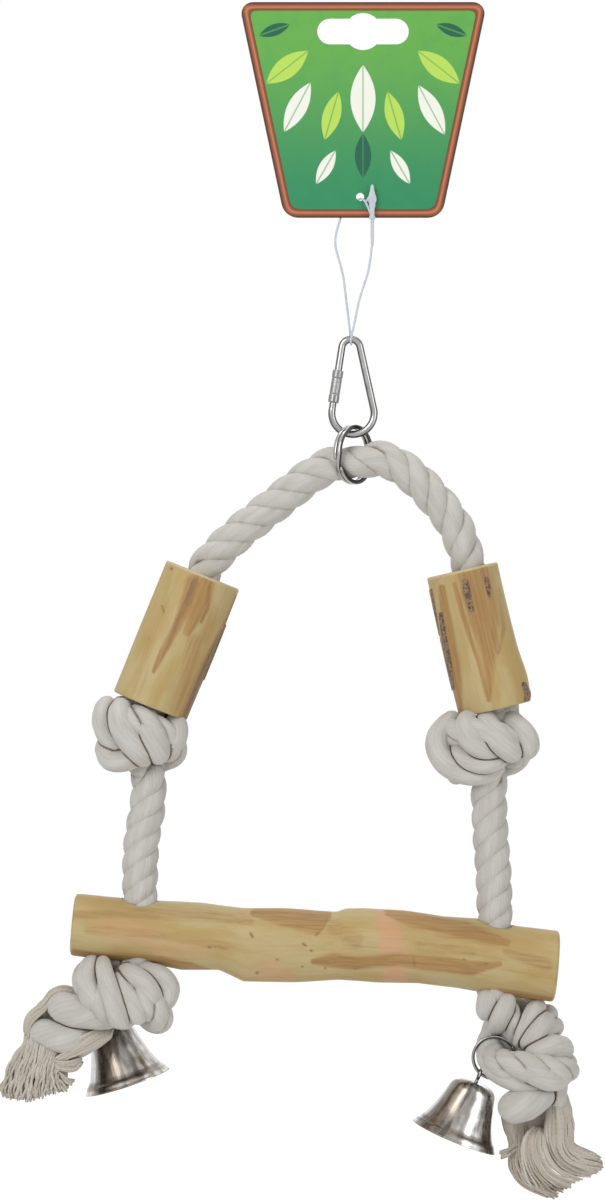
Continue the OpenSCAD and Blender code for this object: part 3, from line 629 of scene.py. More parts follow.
def make_rope(steps=12, gap=0.75):
    """The three strands along the whole route, cut into the pieces of the CAD."""
    route, ends = rope_route()
    line = smooth(route, steps)
    run = lengths(line)
    at = np.linspace(0, run[-1], int(run[-1] / gap))
    even = points_at(line, at, run)
    radius, turn = rope_radius(even), lay_turn(even, at)
    _, side, other = frames(even)
    strands = [strand_grid(even, at, radius, side, other, turn + k * 2 * np.pi / 3) for k in range(3)]
    first = 0
    for name, end in ends.items():
        last = len(at) - 1 if end == len(route) else int(np.searchsorted(at, run[(end - 1) * steps]))
        part = slice(first, last + 1)
        body = "arch" if name.startswith("arch") or "upper" in name else "trapeze"
        bends = "drop" in name
        piece = build(name + "_strands", [{k: v[part] for k, v in s.items()} for s in strands],
                      COTTON, None if bends else body, stands_for=[name])
        if bends:
            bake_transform(piece)
        first = last


COTTON, LOOSE = cotton(), loose_yarn()
make_rope()


# ---------------------------------------------------------------- knots and frayed ends
def seen_points(points):
    """Rows (x, z, y) of the photograph as rows of points in millimetres."""
    return np.array([seen_at(*p) for p in points])


def roll(points, radii, twist=0.10, deep=1.0, sides=44):
    """A fat roll of cotton: one strand that bulges out of a knot, or an unlaid one. It is a
    tube along its points, with a radius in the photograph's pixels at each, round at both
    ends, and its yarns wind about it by the twist, in radians a millimetre. Its depth from
    front to back is the given share of its height."""
    line, run = spaced(smooth(seen_points(points), 10), 0.6)
    radius = PHOTO_SCALE * np.interp(run / run[-1], np.linspace(0, 1, len(radii)), radii)
    edge = np.minimum(run, run[-1] - run) / np.maximum(radius, 0.1)
    radius = radius * np.sqrt(np.clip(1 - (1 - np.clip(edge, 0.02, 1)) ** 2, 0, 1))
    turn = circle(sides)[None, :] + (run * twist)[:, None]
    g = tube_grid(line, radius[:, None] * (1 + YARN_RIDGE / 2 * np.cos(turn * YARNS_A_STRAND)), sides)
    g[..., 1] = line[:, None, 1] + (g[..., 1] - line[:, None, 1]) * deep
    return {"points": g, "yarn": wound(turn, run), "crown": np.full(turn.shape, ROLL_CROWN),
            "axis": line, "radius": radius}


def pressed(rolls):
    """The same rolls with painted shade in the creases where they meet. A point's crown falls with
    its way d to the nearest other roll's surface, as 0.96 - 0.36 exp(-(d / 0.45)^2)."""
    for one in rolls:
        spots = one["points"].reshape(-1, 1, 3)
        for other in rolls:
            if other is not one:
                # Painted shade near the other roll's surface
                gap = np.linalg.norm(spots - other["axis"][None, ::2], axis=2) - other["radius"][::2]
                near = ROLL_CROWN - CREASE_SHADE * np.exp(-(np.maximum(gap.min(1), 0) / CREASE_WIDE) ** 2)
                one["crown"] = np.minimum(one["crown"], near.reshape(one["crown"].shape))
    return [{k: r[k] for k in ("points", "yarn", "crown")} for r in rolls]


def mass(points, radii, deep):
    """A roll as the matted middle of a tassel, below its loose yarns. Its tint is a little under most of
    theirs, a painted shade where it shows between them.
    """
    one = roll(points, radii, 0.1, deep)
    # Painted shade: a tint a little under most loose yarns'
    return {"points": one["points"], "yarn": one["yarn"], "tint": np.full(one["crown"].shape, 0.55)}


def fan(guides, count, seed, yarn_r=0.45, layers=2, deep=1.4, wave=0.35, fray=0.06, steps=44, sides=7,
        dark=0.0):
    """Loose yarns side by side. Each guide is a row of points (x, z, y) of the photograph,
    and yarn i lies between two of them, at its own share of the way across. Layers lie one
    behind another, and each layer further back has its tints lowered as painted shade, as dark
    lowers them for every yarn. A yarn wanders by a few sines that grow along it, and has its own end."""
    rng = np.random.default_rng(seed)
    u = np.linspace(0, 1, steps)
    guides = [spaced(smooth(seen_points(g), 8), 1.0)[0] for g in guides]
    lines = np.array([points_at(g, u, np.linspace(0, 1, len(g))) for g in guides])
    rows = np.arange(count)[:, None]
    grids = []
    for layer in range(layers):
        across = (np.arange(count) + 0.5 + rng.uniform(-0.3, 0.3, count)) / count * (len(lines) - 1)
        low = np.clip(across.astype(int), 0, len(lines) - 2)
        way = (across - low)[:, None, None]
        p = lines[low] * (1 - way) + lines[low + 1] * way
        at = u[None, :] * (1 - fray * rng.random(count) ** 1.3)[:, None]
        pick = at * (steps - 1)
        a = np.clip(pick.astype(int), 0, steps - 2)
        rest = (pick - a)[..., None]
        p = p[rows, a] * (1 - rest) + p[rows, a + 1] * rest
        p = p + BACK * (layer * deep + rng.uniform(-0.3, 0.3, (count, 1, 1)))
        for waves, size in ((1.7, 1.0), (4.1, 0.5), (9.3, 0.22)):
            for direction in np.eye(3):
                phase, much = rng.uniform(0, 6.28, (count, 1)), rng.uniform(0.3, 1.1, (count, 1))
                p = p + direction * (np.sin(waves * np.pi * at + phase) * much * size * wave
                                     * (0.3 + 1.3 * at))[..., None]
        # Painted shade: the tints fall for layers further back, and by dark for every yarn
        tints = np.clip(rng.uniform(0.35, 1.0, count) - dark - 0.22 * layer, 0, 1)
        for one, tint in zip(p, tints):
            g = tube_grid(one, yarn_r * rng.uniform(0.85, 1.15) * (1 - 0.4 * u ** 14), sides)
            turn = np.broadcast_to(circle(sides), g.shape[:2])
            grids.append({"points": g, "yarn": wound(turn, lengths(one)), "tint": 0 * turn + tint})
    return grids


def behind(guides, share=0.85, away=0.0):
    """The same guides on the far side: y becomes away - share * y."""
    return [[(x, z, away - share * y) for x, z, y in guide] for guide in guides]


def cotton_face(name, body, rolls):
    """A piece of rolls pressed against one another, laid over the rope's own strands."""
    build(name, pressed([roll(*r) for r in rolls]), COTTON, body)


def fans(rows):
    """All yarns of some fans, each given as its guides, yarns a layer, seed and other values."""
    return [grid for guides, count, seed, more in rows for grid in fan(guides, count, seed, **more)]


def tassel(side, near, masses, far, tail):
    """A frayed end: loose yarns over matted middles, more on the far side, and the rope's last
    strands where they come out of the knot."""
    matted = [mass(*m) for m in masses]
    build(side + "_tassel_yarns", fans(near) + matted, LOOSE, "trapeze", stands_for=[side + "_tassel"])
    build(side + "_tassel_far_yarns", fans(far), LOOSE, "trapeze")
    cotton_face(side + "_tail_strands", "trapeze", tail)


# Each roll: its places (x, z, y) of the photograph, its radii in pixels, and the twist of its
# yarns in radians a millimetre
cotton_face("left_upper_knot_face", "arch", [
    ([(112, 700, -4), (105, 708, -8), (103, 720, -9), (107, 733, -9), (115, 745, -8), (124, 754, -5)],
     [8, 9.5, 10, 10, 9, 7], 0.05),
    ([(126, 702, -6), (121, 712, -11), (123, 726, -13), (131, 740, -13), (141, 752, -11), (148, 762, -6)],
     [9, 11.5, 12, 12, 11, 8], 0.05),
    ([(146, 712, -4), (148, 722, -10), (154, 735, -12), (159, 748, -10), (158, 760, -5)],
     [10, 13, 14, 13, 9], 0.05),
    ([(172, 716, -1), (178, 727, -6), (176, 739, -8), (168, 748, -7), (160, 756, -3)], [9, 10.5, 11, 10, 8],
     0.05),
    ([(110, 736, -2), (108, 748, -6), (112, 758, -8), (122, 760, -9), (136, 758, -7), (146, 753, -3)],
     [9, 12, 12, 11, 9, 7], 0.06),
    ([(112, 702, 1), (132, 708, 0), (154, 716, 0), (178, 724, 1)], [8, 10, 10, 8], 0.05),
])
cotton_face("right_upper_knot_face", "arch", [
    ([(458, 716, -1), (447, 724, -5), (438, 736, -7), (437, 748, -8), (444, 761, -8), (457, 771, -8),
     (474, 776, -8), (490, 773, -6), (502, 764, -3)], [9, 11, 12, 12, 12, 10.5, 8.5, 8, 7], 0.05),
    ([(452, 744, -4), (458, 753, -9), (470, 761, -11), (484, 764, -11), (498, 760, -8), (505, 753, -4)],
     [6, 8, 9, 9, 8, 6], 0.06),
    ([(468, 714, -6), (465, 726, -12), (469, 738, -14), (479, 747, -13), (491, 753, -10), (500, 754, -6)],
     [9, 11, 12, 11, 8, 6], 0.05),
    ([(484, 714, -4), (487, 726, -11), (497, 738, -14), (507, 748, -12), (514, 756, -7)],
     [9, 12, 13.5, 12, 9], 0.05),
    ([(504, 714, 0), (514, 724, -6), (524, 735, -9), (527, 746, -8), (522, 754, -4)], [9, 11, 12, 11.5, 9],
     0.05),
])
cotton_face("left_lower_knot_face", "trapeze", [
    ([(99, 958, -1), (91, 964, -6), (87, 976, -9), (92, 990, -10), (101, 1004, -9), (109, 1017, -5)],
     [7, 9.5, 10.5, 10.5, 10, 8], 0.04),
    ([(103, 958, -4), (105, 966, -9), (109, 980, -12), (115, 997, -13), (120, 1013, -12), (122, 1023, -9)],
     [7, 8.5, 9.5, 10, 10.5, 10], 0.03),
    ([(118, 972, -5), (123, 984, -9), (131, 996, -11), (138, 1009, -11), (140, 1019, -8)],
     [8, 10, 10.5, 10.5, 9.5], 0.05),
    ([(122, 970, -3), (132, 972, -8), (145, 981, -10), (153, 993, -10), (154, 1003, -6)],
     [8, 10, 11, 10.5, 8], 0.06),
    ([(138, 968, -1), (150, 970, -5), (163, 975, -7), (170, 986, -7), (167, 998, -6), (158, 1004, -2)],
     [7, 9, 10, 10.5, 10, 8], 0.06),
    ([(128, 958, 1), (131, 966, -2), (128, 976, -3)], [9, 10, 9], 0.2),
    ([(100, 960, 2), (116, 963, 1), (134, 966, 2)], [6, 8, 6], 0.2),
])
cotton_face("right_lower_knot_face", "trapeze", [
    ([(491, 988, -3), (487, 998, -4), (484, 1009, -3), (486, 1019, 0)], [10, 10.5, 8.5, 5], 0.05),
    ([(509, 992, -3), (505, 1004, -5), (499, 1018, -3), (497, 1030, 4.5), (498, 1046, 9)],
     [7, 10.5, 10.5, 9.5, 9], 0.05),
    ([(514, 1002, -1), (514, 1018, -3.5), (513, 1032, -0.5), (512, 1046, 3)], [4, 7, 8, 6], 0.14),
    ([(543, 1004, 1), (534, 1010, -3), (526, 1022, -5), (520, 1034, -5), (516, 1046, -3)],
     [7, 9.5, 8, 6.5, 5], 0.05),
    ([(548, 1016, 0), (541, 1024, -5), (532, 1034, -7), (521, 1046, -6)], [9, 11, 9.5, 6], 0.05),
    ([(570, 1054, 1), (561, 1048, -3), (549, 1046, -7), (537, 1048, -9), (524, 1052, -8)],
     [6, 13, 13.5, 10.5, 6], 0.05),
    ([(504, 1054, -2), (495, 1055, -2), (488, 1061, -2), (493, 1069, -5), (506, 1075, -9), (524, 1081, -9),
     (544, 1086, -5)], [5, 8.5, 9.5, 10.5, 11, 9.5, 7], 0.04),
    ([(506, 1052, -8), (517, 1060, -12), (531, 1068, -13), (545, 1074, -12), (556, 1076, -8),
     (561, 1076, -2)], [6, 9.5, 12, 13, 12, 9], 0.04),
])

LEFT_SPREAD = [
    [(26, 1030, 0), (24, 1044, -1), (16, 1056, -2), (8, 1066, -2), (5, 1078, -1), (1, 1088, 0),
     (6, 1097, 1)],
    [(32, 1036, -5), (30, 1050, -6), (25, 1064, -6), (20, 1080, -6), (17, 1098, -4)],
    [(44, 1044, -7), (42, 1056, -8), (36, 1070, -8), (33, 1084, -7), (31, 1099, -5)],
    [(56, 1050, -6), (52, 1060, -8), (48, 1072, -7), (47, 1083, -6), (46, 1094, -5)],
    [(66, 1056, -3), (62, 1064, -5), (60, 1074, -5), (63, 1082, -4), (68, 1089, -3)]]
LEFT_BEND = [
    [(92, 999, 1), (78, 990, -4), (62, 987, -6), (48, 993, -6), (38, 1008, -5), (30, 1024, -4),
     (28, 1040, -4)],
    [(92, 1024, -2), (78, 1018, -7), (64, 1014, -8), (54, 1018, -8), (50, 1028, -7), (48, 1040, -6),
     (46, 1050, -5)]]
tassel("left", near=[
    ([[(92, 999, 1), (78, 992, -1), (64, 988, -3), (52, 991, -3), (44, 1002, -3), (34, 1008, -3),
     (26, 1018, -2), (25, 1034, -1)], [(90, 1002, -2), (76, 997, -4), (64, 993, -6), (55, 998, -6),
     (47, 1008, -6), (38, 1016, -6), (31, 1024, -6), (28, 1040, -4)]], 11, 11, dict(layers=3, wave=0.16)),
    ([[(104, 1027, -3), (92, 1030, -7), (80, 1036, -9), (70, 1046, -9), (60, 1054, -7), (50, 1060, -6)],
     [(113, 1028, -2), (110, 1036, -5), (98, 1043, -8), (86, 1049, -8), (74, 1054, -8), (64, 1059, -6)]],
     20, 12, dict(wave=0.16)),
    ([[(52, 1056, -6), (60, 1059, -7), (72, 1059, -7), (82, 1055, -6)], [(54, 1066, -5), (64, 1069, -6),
     (76, 1069, -6), (84, 1062, -5)]], 13, 13, dict(wave=0.15)),
    ([[(58, 1068, -5), (64, 1074, -6), (70, 1078, -5), (75, 1078, -4)], [(60, 1072, -3), (64, 1078, -4),
     (69, 1082, -4), (71, 1086, -3)]], 7, 15, dict(wave=0.2)),
    (LEFT_SPREAD, 48, 14, dict(layers=4, deep=1.5, wave=0.55, fray=0.03)),
], masses=[
    ([(44, 1040, 0), (38, 1056, 0), (34, 1072, 0), (32, 1090, 0)], [15, 23, 27, 20], 0.5),
    ([(58, 1066, 0), (62, 1082, 0)], [8, 8], 0.6),
    ([(62, 1060, -2), (78, 1060, -2)], [7, 6], 0.8),
    ([(60, 998, 0), (48, 1006, 0), (38, 1020, 0), (34, 1036, 0)], [8, 9, 10, 9], 0.8),
], far=[
    (behind(LEFT_SPREAD), 44, 16, dict(deep=-1.4, wave=0.5)),
    (behind(LEFT_BEND, 0.95), 22, 17, dict(deep=-1.2)),
], tail=[
    ([(116, 1022, -3), (102, 1018, -6), (88, 1013, -7), (74, 1009, -7), (62, 1006, -5), (50, 1006, -2)],
     [6, 10, 14, 16.5, 15.5, 10], 0.16),
    ([(94, 1034, -1), (80, 1038, -4), (66, 1037, -6), (52, 1033, -5), (40, 1029, -3), (31, 1026, 0)],
     [9, 13, 15, 15, 13, 9], 0.17),
    ([(112, 1030, 1), (96, 1038, -1), (80, 1047, -3), (64, 1054, -3)], [7, 10, 10, 8], 0.3),
])
RIGHT_OUTER = [
    [(545, 1084, -1), (547, 1104, -4), (544, 1124, -6), (546, 1144, -7), (553, 1160, -7), (568, 1171, -6),
     (588, 1176, -4)],
    [(556, 1084, -3), (557, 1104, -6), (559, 1125, -8), (559, 1142, -8), (567, 1156, -7), (582, 1164, -6),
     (603, 1168, -3)],
    [(565, 1084, 0), (564, 1098, -2), (570, 1112, -3), (573, 1125, -4), (571, 1140, -4), (582, 1149, -3),
     (600, 1157, -1)]]
RIGHT_LOWER = [
    [(502, 1116, 3), (505, 1131, 2), (510, 1142, 1), (511, 1156, 1), (511, 1171, 1), (522, 1186, 1),
     (541, 1194, 1), (552, 1199, 1)],
    [(518, 1112, 1), (520, 1128, 0), (521, 1145, -1), (523, 1160, -2), (528, 1176, -2), (542, 1187, -1),
     (557, 1197, 0)],
    [(532, 1110, 2), (532, 1126, 2), (532, 1144, 1), (537, 1160, 0), (546, 1174, 0), (560, 1184, 0),
     (572, 1184, 0)]]
tassel("right", near=[
    (RIGHT_OUTER, 22, 21, dict(layers=4, deep=1.8, wave=0.3)),
    ([[(545, 1132, 1), (534, 1126, -3), (524, 1133, -6), (520, 1146, -7), (521, 1160, -7), (525, 1175, -5),
     (531, 1188, -3)], [(546, 1130, 0), (539, 1127, -4), (533, 1140, -8), (537, 1158, -9), (546, 1172, -8),
     (560, 1181, -6), (570, 1186, -4)], [(547, 1128, 0), (544, 1129, -4), (546, 1144, -9), (552, 1158, -10),
     (562, 1168, -9), (575, 1174, -7), (584, 1177, -5)]], 15, 22, dict(layers=1, yarn_r=0.5, wave=0.2)),
    # Painted shade: these yarns are given darker tints
    (RIGHT_LOWER, 24, 23, dict(layers=3, deep=1.8, dark=0.25)),
    ([[(518, 1142, 0), (508, 1148, -1), (498, 1151, -1)], [(518, 1150, 0), (509, 1156, -1),
     (500, 1158, -1)]], 6, 24, dict(layers=1, steps=16, wave=0.2)),
], masses=[
    ([(518, 1112, 3), (520, 1130, 3), (524, 1150, 2), (534, 1172, 2), (552, 1188, 2)], [14, 14, 13, 13, 8],
     0.6),
    ([(556, 1086, -1), (558, 1110, -2), (560, 1135, -2), (562, 1156, -2), (582, 1166, -1)],
     [9, 14, 14, 13, 9], 0.7),
    ([(540, 1098, 2), (538, 1116, 2), (536, 1134, 2)], [10, 12, 12], 0.6),
], far=[
    (behind(RIGHT_OUTER), 30, 25, dict(deep=-1.4, wave=0.4)),
    (behind(RIGHT_LOWER, 0.5, 7.0), 30, 26, dict(deep=-1.4, wave=0.4)),
], tail=[
    ([(552, 1090, -4), (540, 1096, -7), (526, 1101, -9), (512, 1104, -8), (502, 1104, -4)],
     [8, 12, 16, 17, 12], 0.13),
    ([(560, 1072, -2), (558, 1086, -4), (557, 1098, -4), (558, 1108, -3)], [8, 9, 9, 8], 0.05),
])


# ---------------------------------------------------------------- wood
def patch(along, angle, spots):
    """A share from 0 to 1 over a branch: each spot is (place along, angle, half length, half
    angle) and fades from its middle to its edge."""
    best = np.zeros(np.broadcast(along, angle).shape)
    for where, turn, long, wide in spots:
        gap = (angle - turn + 180) % 360 - 180
        best = np.maximum(best, 1 - np.sqrt(((along - where) / long) ** 2 + (gap / wide) ** 2))
    return np.clip(best, 0, 1)


def marks(points, strokes, front=3.0):
    """Marks on the wood's front. A stroke is its strength and places (x, z, half width), all in
    the photograph's pixels. Its share is 1 along its middle and falls to 0 at the half width,
    and within a few millimetres of the branch's middle plane."""
    px, pz = pixel_of(points)
    best = np.zeros(px.shape)
    for strength, *rows in strokes:
        rows = np.array(rows, float)
        if len(rows) == 1:
            rows = np.vstack([rows, rows + [0.5, 0, 0]])
        for a, b in zip(rows[:-1], rows[1:]):
            way = b[:2] - a[:2]
            t = np.clip(((px - a[0]) * way[0] + (pz - a[1]) * way[1]) / (way @ way), 0, 1)
            gap = np.hypot(px - a[0] - way[0] * t, pz - a[1] - way[1] * t)
            wide = a[2] + (b[2] - a[2]) * t
            best = np.maximum(best, strength * np.clip(1.6 * (1 - gap / wide), 0, 1))
    return best * np.clip((front - points[..., 1]) / front, 0, 1)


def ripple(z, a, seed, size):
    """Slow swells of a shaved branch: a few waves round and along it."""
    rng = np.random.default_rng(seed)
    total = 0
    for n in (2, 3, 4, 5, 7, 9):
        total = total + rng.uniform(0.5, 1) / n ** 0.7 * np.sin(
            n * a + rng.uniform(0, 6.28) + z * rng.uniform(-0.05, 0.05))
    for n in (1, 2, 3):
        total = total + rng.uniform(0.3, 0.8) * np.sin(
            z * n * 0.05 + rng.uniform(0, 6.28) + a * rng.integers(0, 3))
    return size * total


def block(name, i, seed, swell, stains, barks, blushes, far_stains, sides=260, rim=0.7):
    """A bored block: its section from the bore's top, over the rounded rim, down the wall and
    back up the bore is carried round the bore's axis. With shift s of the bore, the wall is
    -s cos a + sqrt(bare^2 - (s sin a)^2) from the bore's axis, where bare is its own radius
    times the swell, with slow ripples."""
    right, length, r = np.cross(BACK, ups[i]), BLOCK_LENGTHS[i], BLOCK_RADII[i]
    shift = RIGHT_BORE_OFF if i else 0.0
    a = circle(sides)

    def spots(radii, heights):
        """Points by their radius from the bore's axis and their height over its lower mouth."""
        x, y = radii * np.cos(a), radii * np.sin(a)
        return mouths[i] + x[..., None] * right + y[..., None] * BACK + heights[..., None] * ups[i]

    def row(radius, height):
        """One ring of radii and heights, from a number or from one for each side."""
        return np.broadcast_to(radius, (sides,)), np.broadcast_to(height, (sides,))

    z_wall = np.linspace(rim, length - rim, 150)[:, None]
    bare = r * swell(z_wall / length, a[None, :]) + ripple(z_wall, a[None, :], seed, 0.13)
    outer = np.sqrt(np.maximum(bare ** 2 - (shift * np.sin(a)) ** 2, 1.0)) - shift * np.cos(a)
    outer = outer + 0.35 * (marks(spots(outer, z_wall + 0 * outer), barks) > 0.4)
    corner = np.radians([18, 36, 54, 72])
    low, high = ([BORE_R + (edge - rim - BORE_R) * f for f in np.linspace(0, 1, 9)[1:]]
                 for edge in (outer[0], outer[-1]))
    rows = [row(BORE_R, 0.0), *[row(face, 0.0) for face in low]]
    rows += [row(outer[0] - rim + rim * np.sin(c), rim - rim * np.cos(c)) for c in corner]
    rows += [row(wall, z) for wall, z in zip(outer, z_wall)]
    rows += [row(outer[-1] - rim + rim * np.cos(c), length - rim + rim * np.sin(c)) for c in corner]
    rows += [row(face, length) for face in high[::-1]]
    rows += [row(BORE_R, z) for z in np.linspace(length, 0, 14)[:-1]]
    radii, heights = (np.array(v) for v in zip(*rows))
    p = spots(radii, heights)
    angle = np.degrees(a)[None, :] + 0 * heights
    outside = radii > BORE_R + 0.1
    cut = ((heights < 0.3) | (heights > length - 0.75)) * 1.0
    values = {"points": p, "cut": cut,
              "grain": np.stack([radii * np.cos(a) + shift, radii * np.sin(a), heights], -1),
              "stain": np.maximum(marks(p, stains), patch(heights, angle, far_stains)) * outside,
              "bark": marks(p, barks) * outside * (1 - cut), "blush": marks(p, blushes) * outside}
    build(name + "_wood", [{k: v[::-1] for k, v in values.items()}], WOOD, name, loops=True,
          stands_for=[name])


def left_swell(u, a):
    """The left block's radius, as a share: a slight wave along it, with u from 0 to 1."""
    return 1.012 + 0.004 * np.sin(3 * u)


def right_swell(u, a):
    """The right block's: it swells near its lower end, most on its right side."""
    return 1.0 + 0.09 * np.exp(-((u - 0.16) / 0.16) ** 2) * (0.55 + 0.45 * np.cos(a))


WOOD = branch_wood("branch_wood")
# Far stains are (place along, angle, half length, half angle), with the back at 90 degrees
block("left_block", 0, 5, left_swell, stains=[
    (1.25, (196, 583, 11), (189, 602, 9)),
    (1.15, (196, 583, 12), (191, 597, 10), (184, 613, 8), (176, 630, 6.5), (168, 645, 5.5), (161, 658, 4.2),
     (155, 671, 2.6)), (0.92, (206, 584, 14), (203, 600, 14), (196, 616, 10), (188, 632, 6)),
    (1.2, (210, 586, 4), (208, 608, 4), (202, 622, 2)),
    (1.4, (237, 597, 3), (223, 632, 5), (209, 662, 8), (196, 696, 11), (186, 722, 11)),
    (0.45, (196, 640, 12), (186, 680, 14), (174, 705, 12)), (0.35, (150, 640, 9), (140, 690, 11)),
    (0.35, (215, 610, 8), (206, 640, 8)), (1.2, (172, 569, 2)), (0.8, (163, 606, 2), (165, 612, 1.7))
], barks=[
    (0.8, (240, 594, 2.4), (224, 634, 3), (208, 676, 4.4), (194, 718, 5))
], blushes=[(0.5, (209, 592, 12), (204, 612, 8))], far_stains=[(25, 120, 30, 16), (34, 60, 22, 10)])
block("right_block", 1, 6, right_swell, stains=[
    (0.86, (474, 574, 27), (479, 600, 26), (482, 622, 23), (485, 640, 17), (486, 658, 12), (487, 675, 8),
     (487, 699, 3.5)),
    (1.0, (453, 584, 3), (461, 612, 3.6), (469, 638, 3.4), (477, 660, 3.2), (485, 694, 3)),
    (0.95, (482, 590, 10), (486, 640, 9), (487, 680, 4)),
    (1.0, (441, 588, 5), (447, 625, 8), (453, 665, 9), (457, 716, 9)),
    (0.6, (498, 590, 3), (503, 628, 4), (497, 652, 3))
], barks=[
    (1.0, (464, 581, 4.4), (466, 594, 6), (470, 610, 3.6)),
    (1.0, (485, 579, 3.6), (487, 588, 4), (488, 596, 2)),
    (1.0, (440, 614, 3), (444, 640, 4.2), (448, 662, 4.2), (452, 688, 3)),
    (0.8, (431, 590, 2), (436, 620, 2.4), (442, 660, 2.2)),
    (1.0, (523, 684, 4), (527, 694, 5), (525, 703, 4))
], blushes=[], far_stains=[(26, 110, 26, 14), (20, 60, 30, 12)])

PERCH_TOP_EDGE = [
    (60, 893), (80, 894), (150, 900), (200, 902), (240, 907), (280, 908), (320, 911), (334, 911.5),
    (342, 908), (360, 907.5), (400, 910), (440, 916), (475, 918), (515, 926), (560, 931)]
PERCH_LOW_EDGE = [
    (60, 954), (70, 955), (110, 960), (150, 963), (185, 970), (222, 970.5), (234, 976), (247, 982),
    (300, 982), (340, 980), (380, 983), (420, 983), (460, 988), (476, 991), (515, 997), (560, 1002.5)]
PERCH_STAINS = [
    (1.0, (254, 912, 5), (270, 913, 9), (285, 916, 12), (302, 918, 15), (314, 919, 16), (324, 915, 10)),
    (0.85, (388, 911, 6), (415, 918, 12), (440, 924, 13), (465, 929, 14), (485, 936, 10), (506, 940, 5)),
    (0.95, (314, 959, 5), (335, 958, 11), (355, 960, 10.5), (375, 958, 9.5), (400, 957, 9.5),
     (425, 961, 11), (450, 963, 11), (470, 965, 11), (484, 963, 7), (498, 961, 4)),
    (0.95, (74, 953, 8), (120, 958, 9), (160, 961, 10), (190, 966, 9), (208, 970, 5)),
    (0.5, (75, 913, 8), (130, 911, 8), (200, 913, 9), (250, 919, 8)),
    (0.42, (90, 928, 8), (160, 932, 9), (225, 943, 8)), (0.5, (332, 925, 11), (355, 937, 14)),
    (0.42, (420, 944, 11), (470, 948, 10)), (0.9, (500, 991, 7), (530, 997, 8), (554, 1001, 7)),
    (0.55, (505, 950, 7), (545, 962, 10))]
PERCH_PITS = [
    (1, (251, 931, 2.2), (253, 934, 2)), (1, (277, 957, 2)), (1, (257, 971, 2.2), (258, 970, 2)),
    (1, (210, 945, 1.8)), (1, (303, 941, 1.6), (306, 943, 1.4)), (1, (311, 948, 1.8)), (1, (302, 964, 1.6)),
    (1, (355, 966, 1.4)), (1, (413, 956, 1.3), (414, 963, 1.2)), (1, (463, 957, 1.8)), (1, (484, 961, 1.8)),
    (1, (325, 966, 1.4)), (1, (466, 922, 1.5)), (0.9, (316, 933, 1.4), (323, 926, 2.2), (330, 913, 1.6))]
PERCH_BLUSHES = [
    (0.9, (385, 912, 14), (392, 945, 18), (395, 982, 16)), (0.5, (110, 926, 16), (150, 934, 14)),
    (0.45, (268, 966, 16), (285, 974, 14)), (0.35, (160, 945, 12), (200, 948, 12))]
PERCH_FAR_STAINS = [(50, 80, 40, 16), (110, 20, 44, 12), (140, 110, 30, 14), (90, 60, 50, 10)]


def perch(rings=400, sides=220, rim=1.2):
    """The perch. Each ring's middle and half height come from the branch's upper and lower
    edges, it is as deep as it is high, knife cuts flatten it here and there, and its ends
    are rounded."""
    z = np.linspace(0, PERCH_LENGTH, rings)
    axis = perch_holes[0] + (z[:, None] - PERCH_HOLE_IN) * perch_way
    px, pz = pixel_of(axis)
    soft = np.hanning(9) / np.hanning(9).sum()
    top, low = (np.convolve(np.pad(np.interp(px, *np.array(e, float).T), 4, "edge"), soft, "valid")
                for e in (PERCH_TOP_EDGE, PERCH_LOW_EDGE))
    half = (low - top) / 2 * PHOTO_SCALE * perch_way[0]
    middle = (pz - (top + low) / 2) * PHOTO_SCALE
    a = circle(sides)
    r = half[:, None] + ripple(z[:, None], a[None, :], 9, 0.12)
    rng = np.random.default_rng(31)
    for _ in range(KNIFE_CUTS):
        where, turn, long = rng.uniform(0, PERCH_LENGTH), rng.uniform(0, 2 * np.pi), rng.uniform(14, 34)
        flat = half[:, None] * rng.uniform(0.955, 0.985) / np.maximum(np.cos(a[None, :] - turn), 0.2)
        share = np.clip(1.4 - ((z[:, None] - where) / long) ** 2 * 1.4, 0, 1)
        r = r - share * np.maximum(r - flat, 0)
    edge = np.clip(rim - np.minimum(z, PERCH_LENGTH - z), 0, rim)
    r = r - (rim - np.sqrt(rim ** 2 - edge ** 2))[:, None]
    x, y = r * np.sin(a), r * np.cos(a)
    p = axis[:, None] + (middle[:, None] + x)[..., None] * perch_up + y[..., None] * BACK
    pits = marks(p, PERCH_PITS)
    p = p + 0.5 * BACK * pits[..., None]
    far = patch(z[:, None], np.degrees(np.arctan2(-x, y)) % 360, PERCH_FAR_STAINS) * (y > 0)
    values = {"points": p, "grain": np.stack([x, y, np.broadcast_to(z[:, None], x.shape)], -1),
              "stain": np.maximum(np.maximum(marks(p, PERCH_STAINS), far), 0.9 * pits),
              "bark": pits * 0.5, "blush": marks(p, PERCH_BLUSHES), "cut": np.zeros(x.shape)}
    cap = np.linspace(1, 0.04, 14)[1:, None, None]

    def capped(end):
        """The rings of an end's flat face, which shrink to its middle."""
        hub = p[end].mean(0)
        rows = {k: 0 * cap[..., 0] * values[k][end] for k in ("stain", "bark", "blush")}
        return {**rows, "points": hub + (p[end] - hub) * cap, "cut": 1 + 0 * rows["bark"],
                "grain": values["grain"][end] * (cap * [1, 1, 0] + [0, 0, 1])}

    first, last = capped(0), capped(-1)
    whole = {key: np.vstack([first[key][::-1], values[key], last[key]]) for key in values}
    piece = build("perch_wood", [whole], branch_wood("perch_wood"), None)
    bore(piece, perch_holes)
    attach(piece, "trapeze")
    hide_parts("perch")


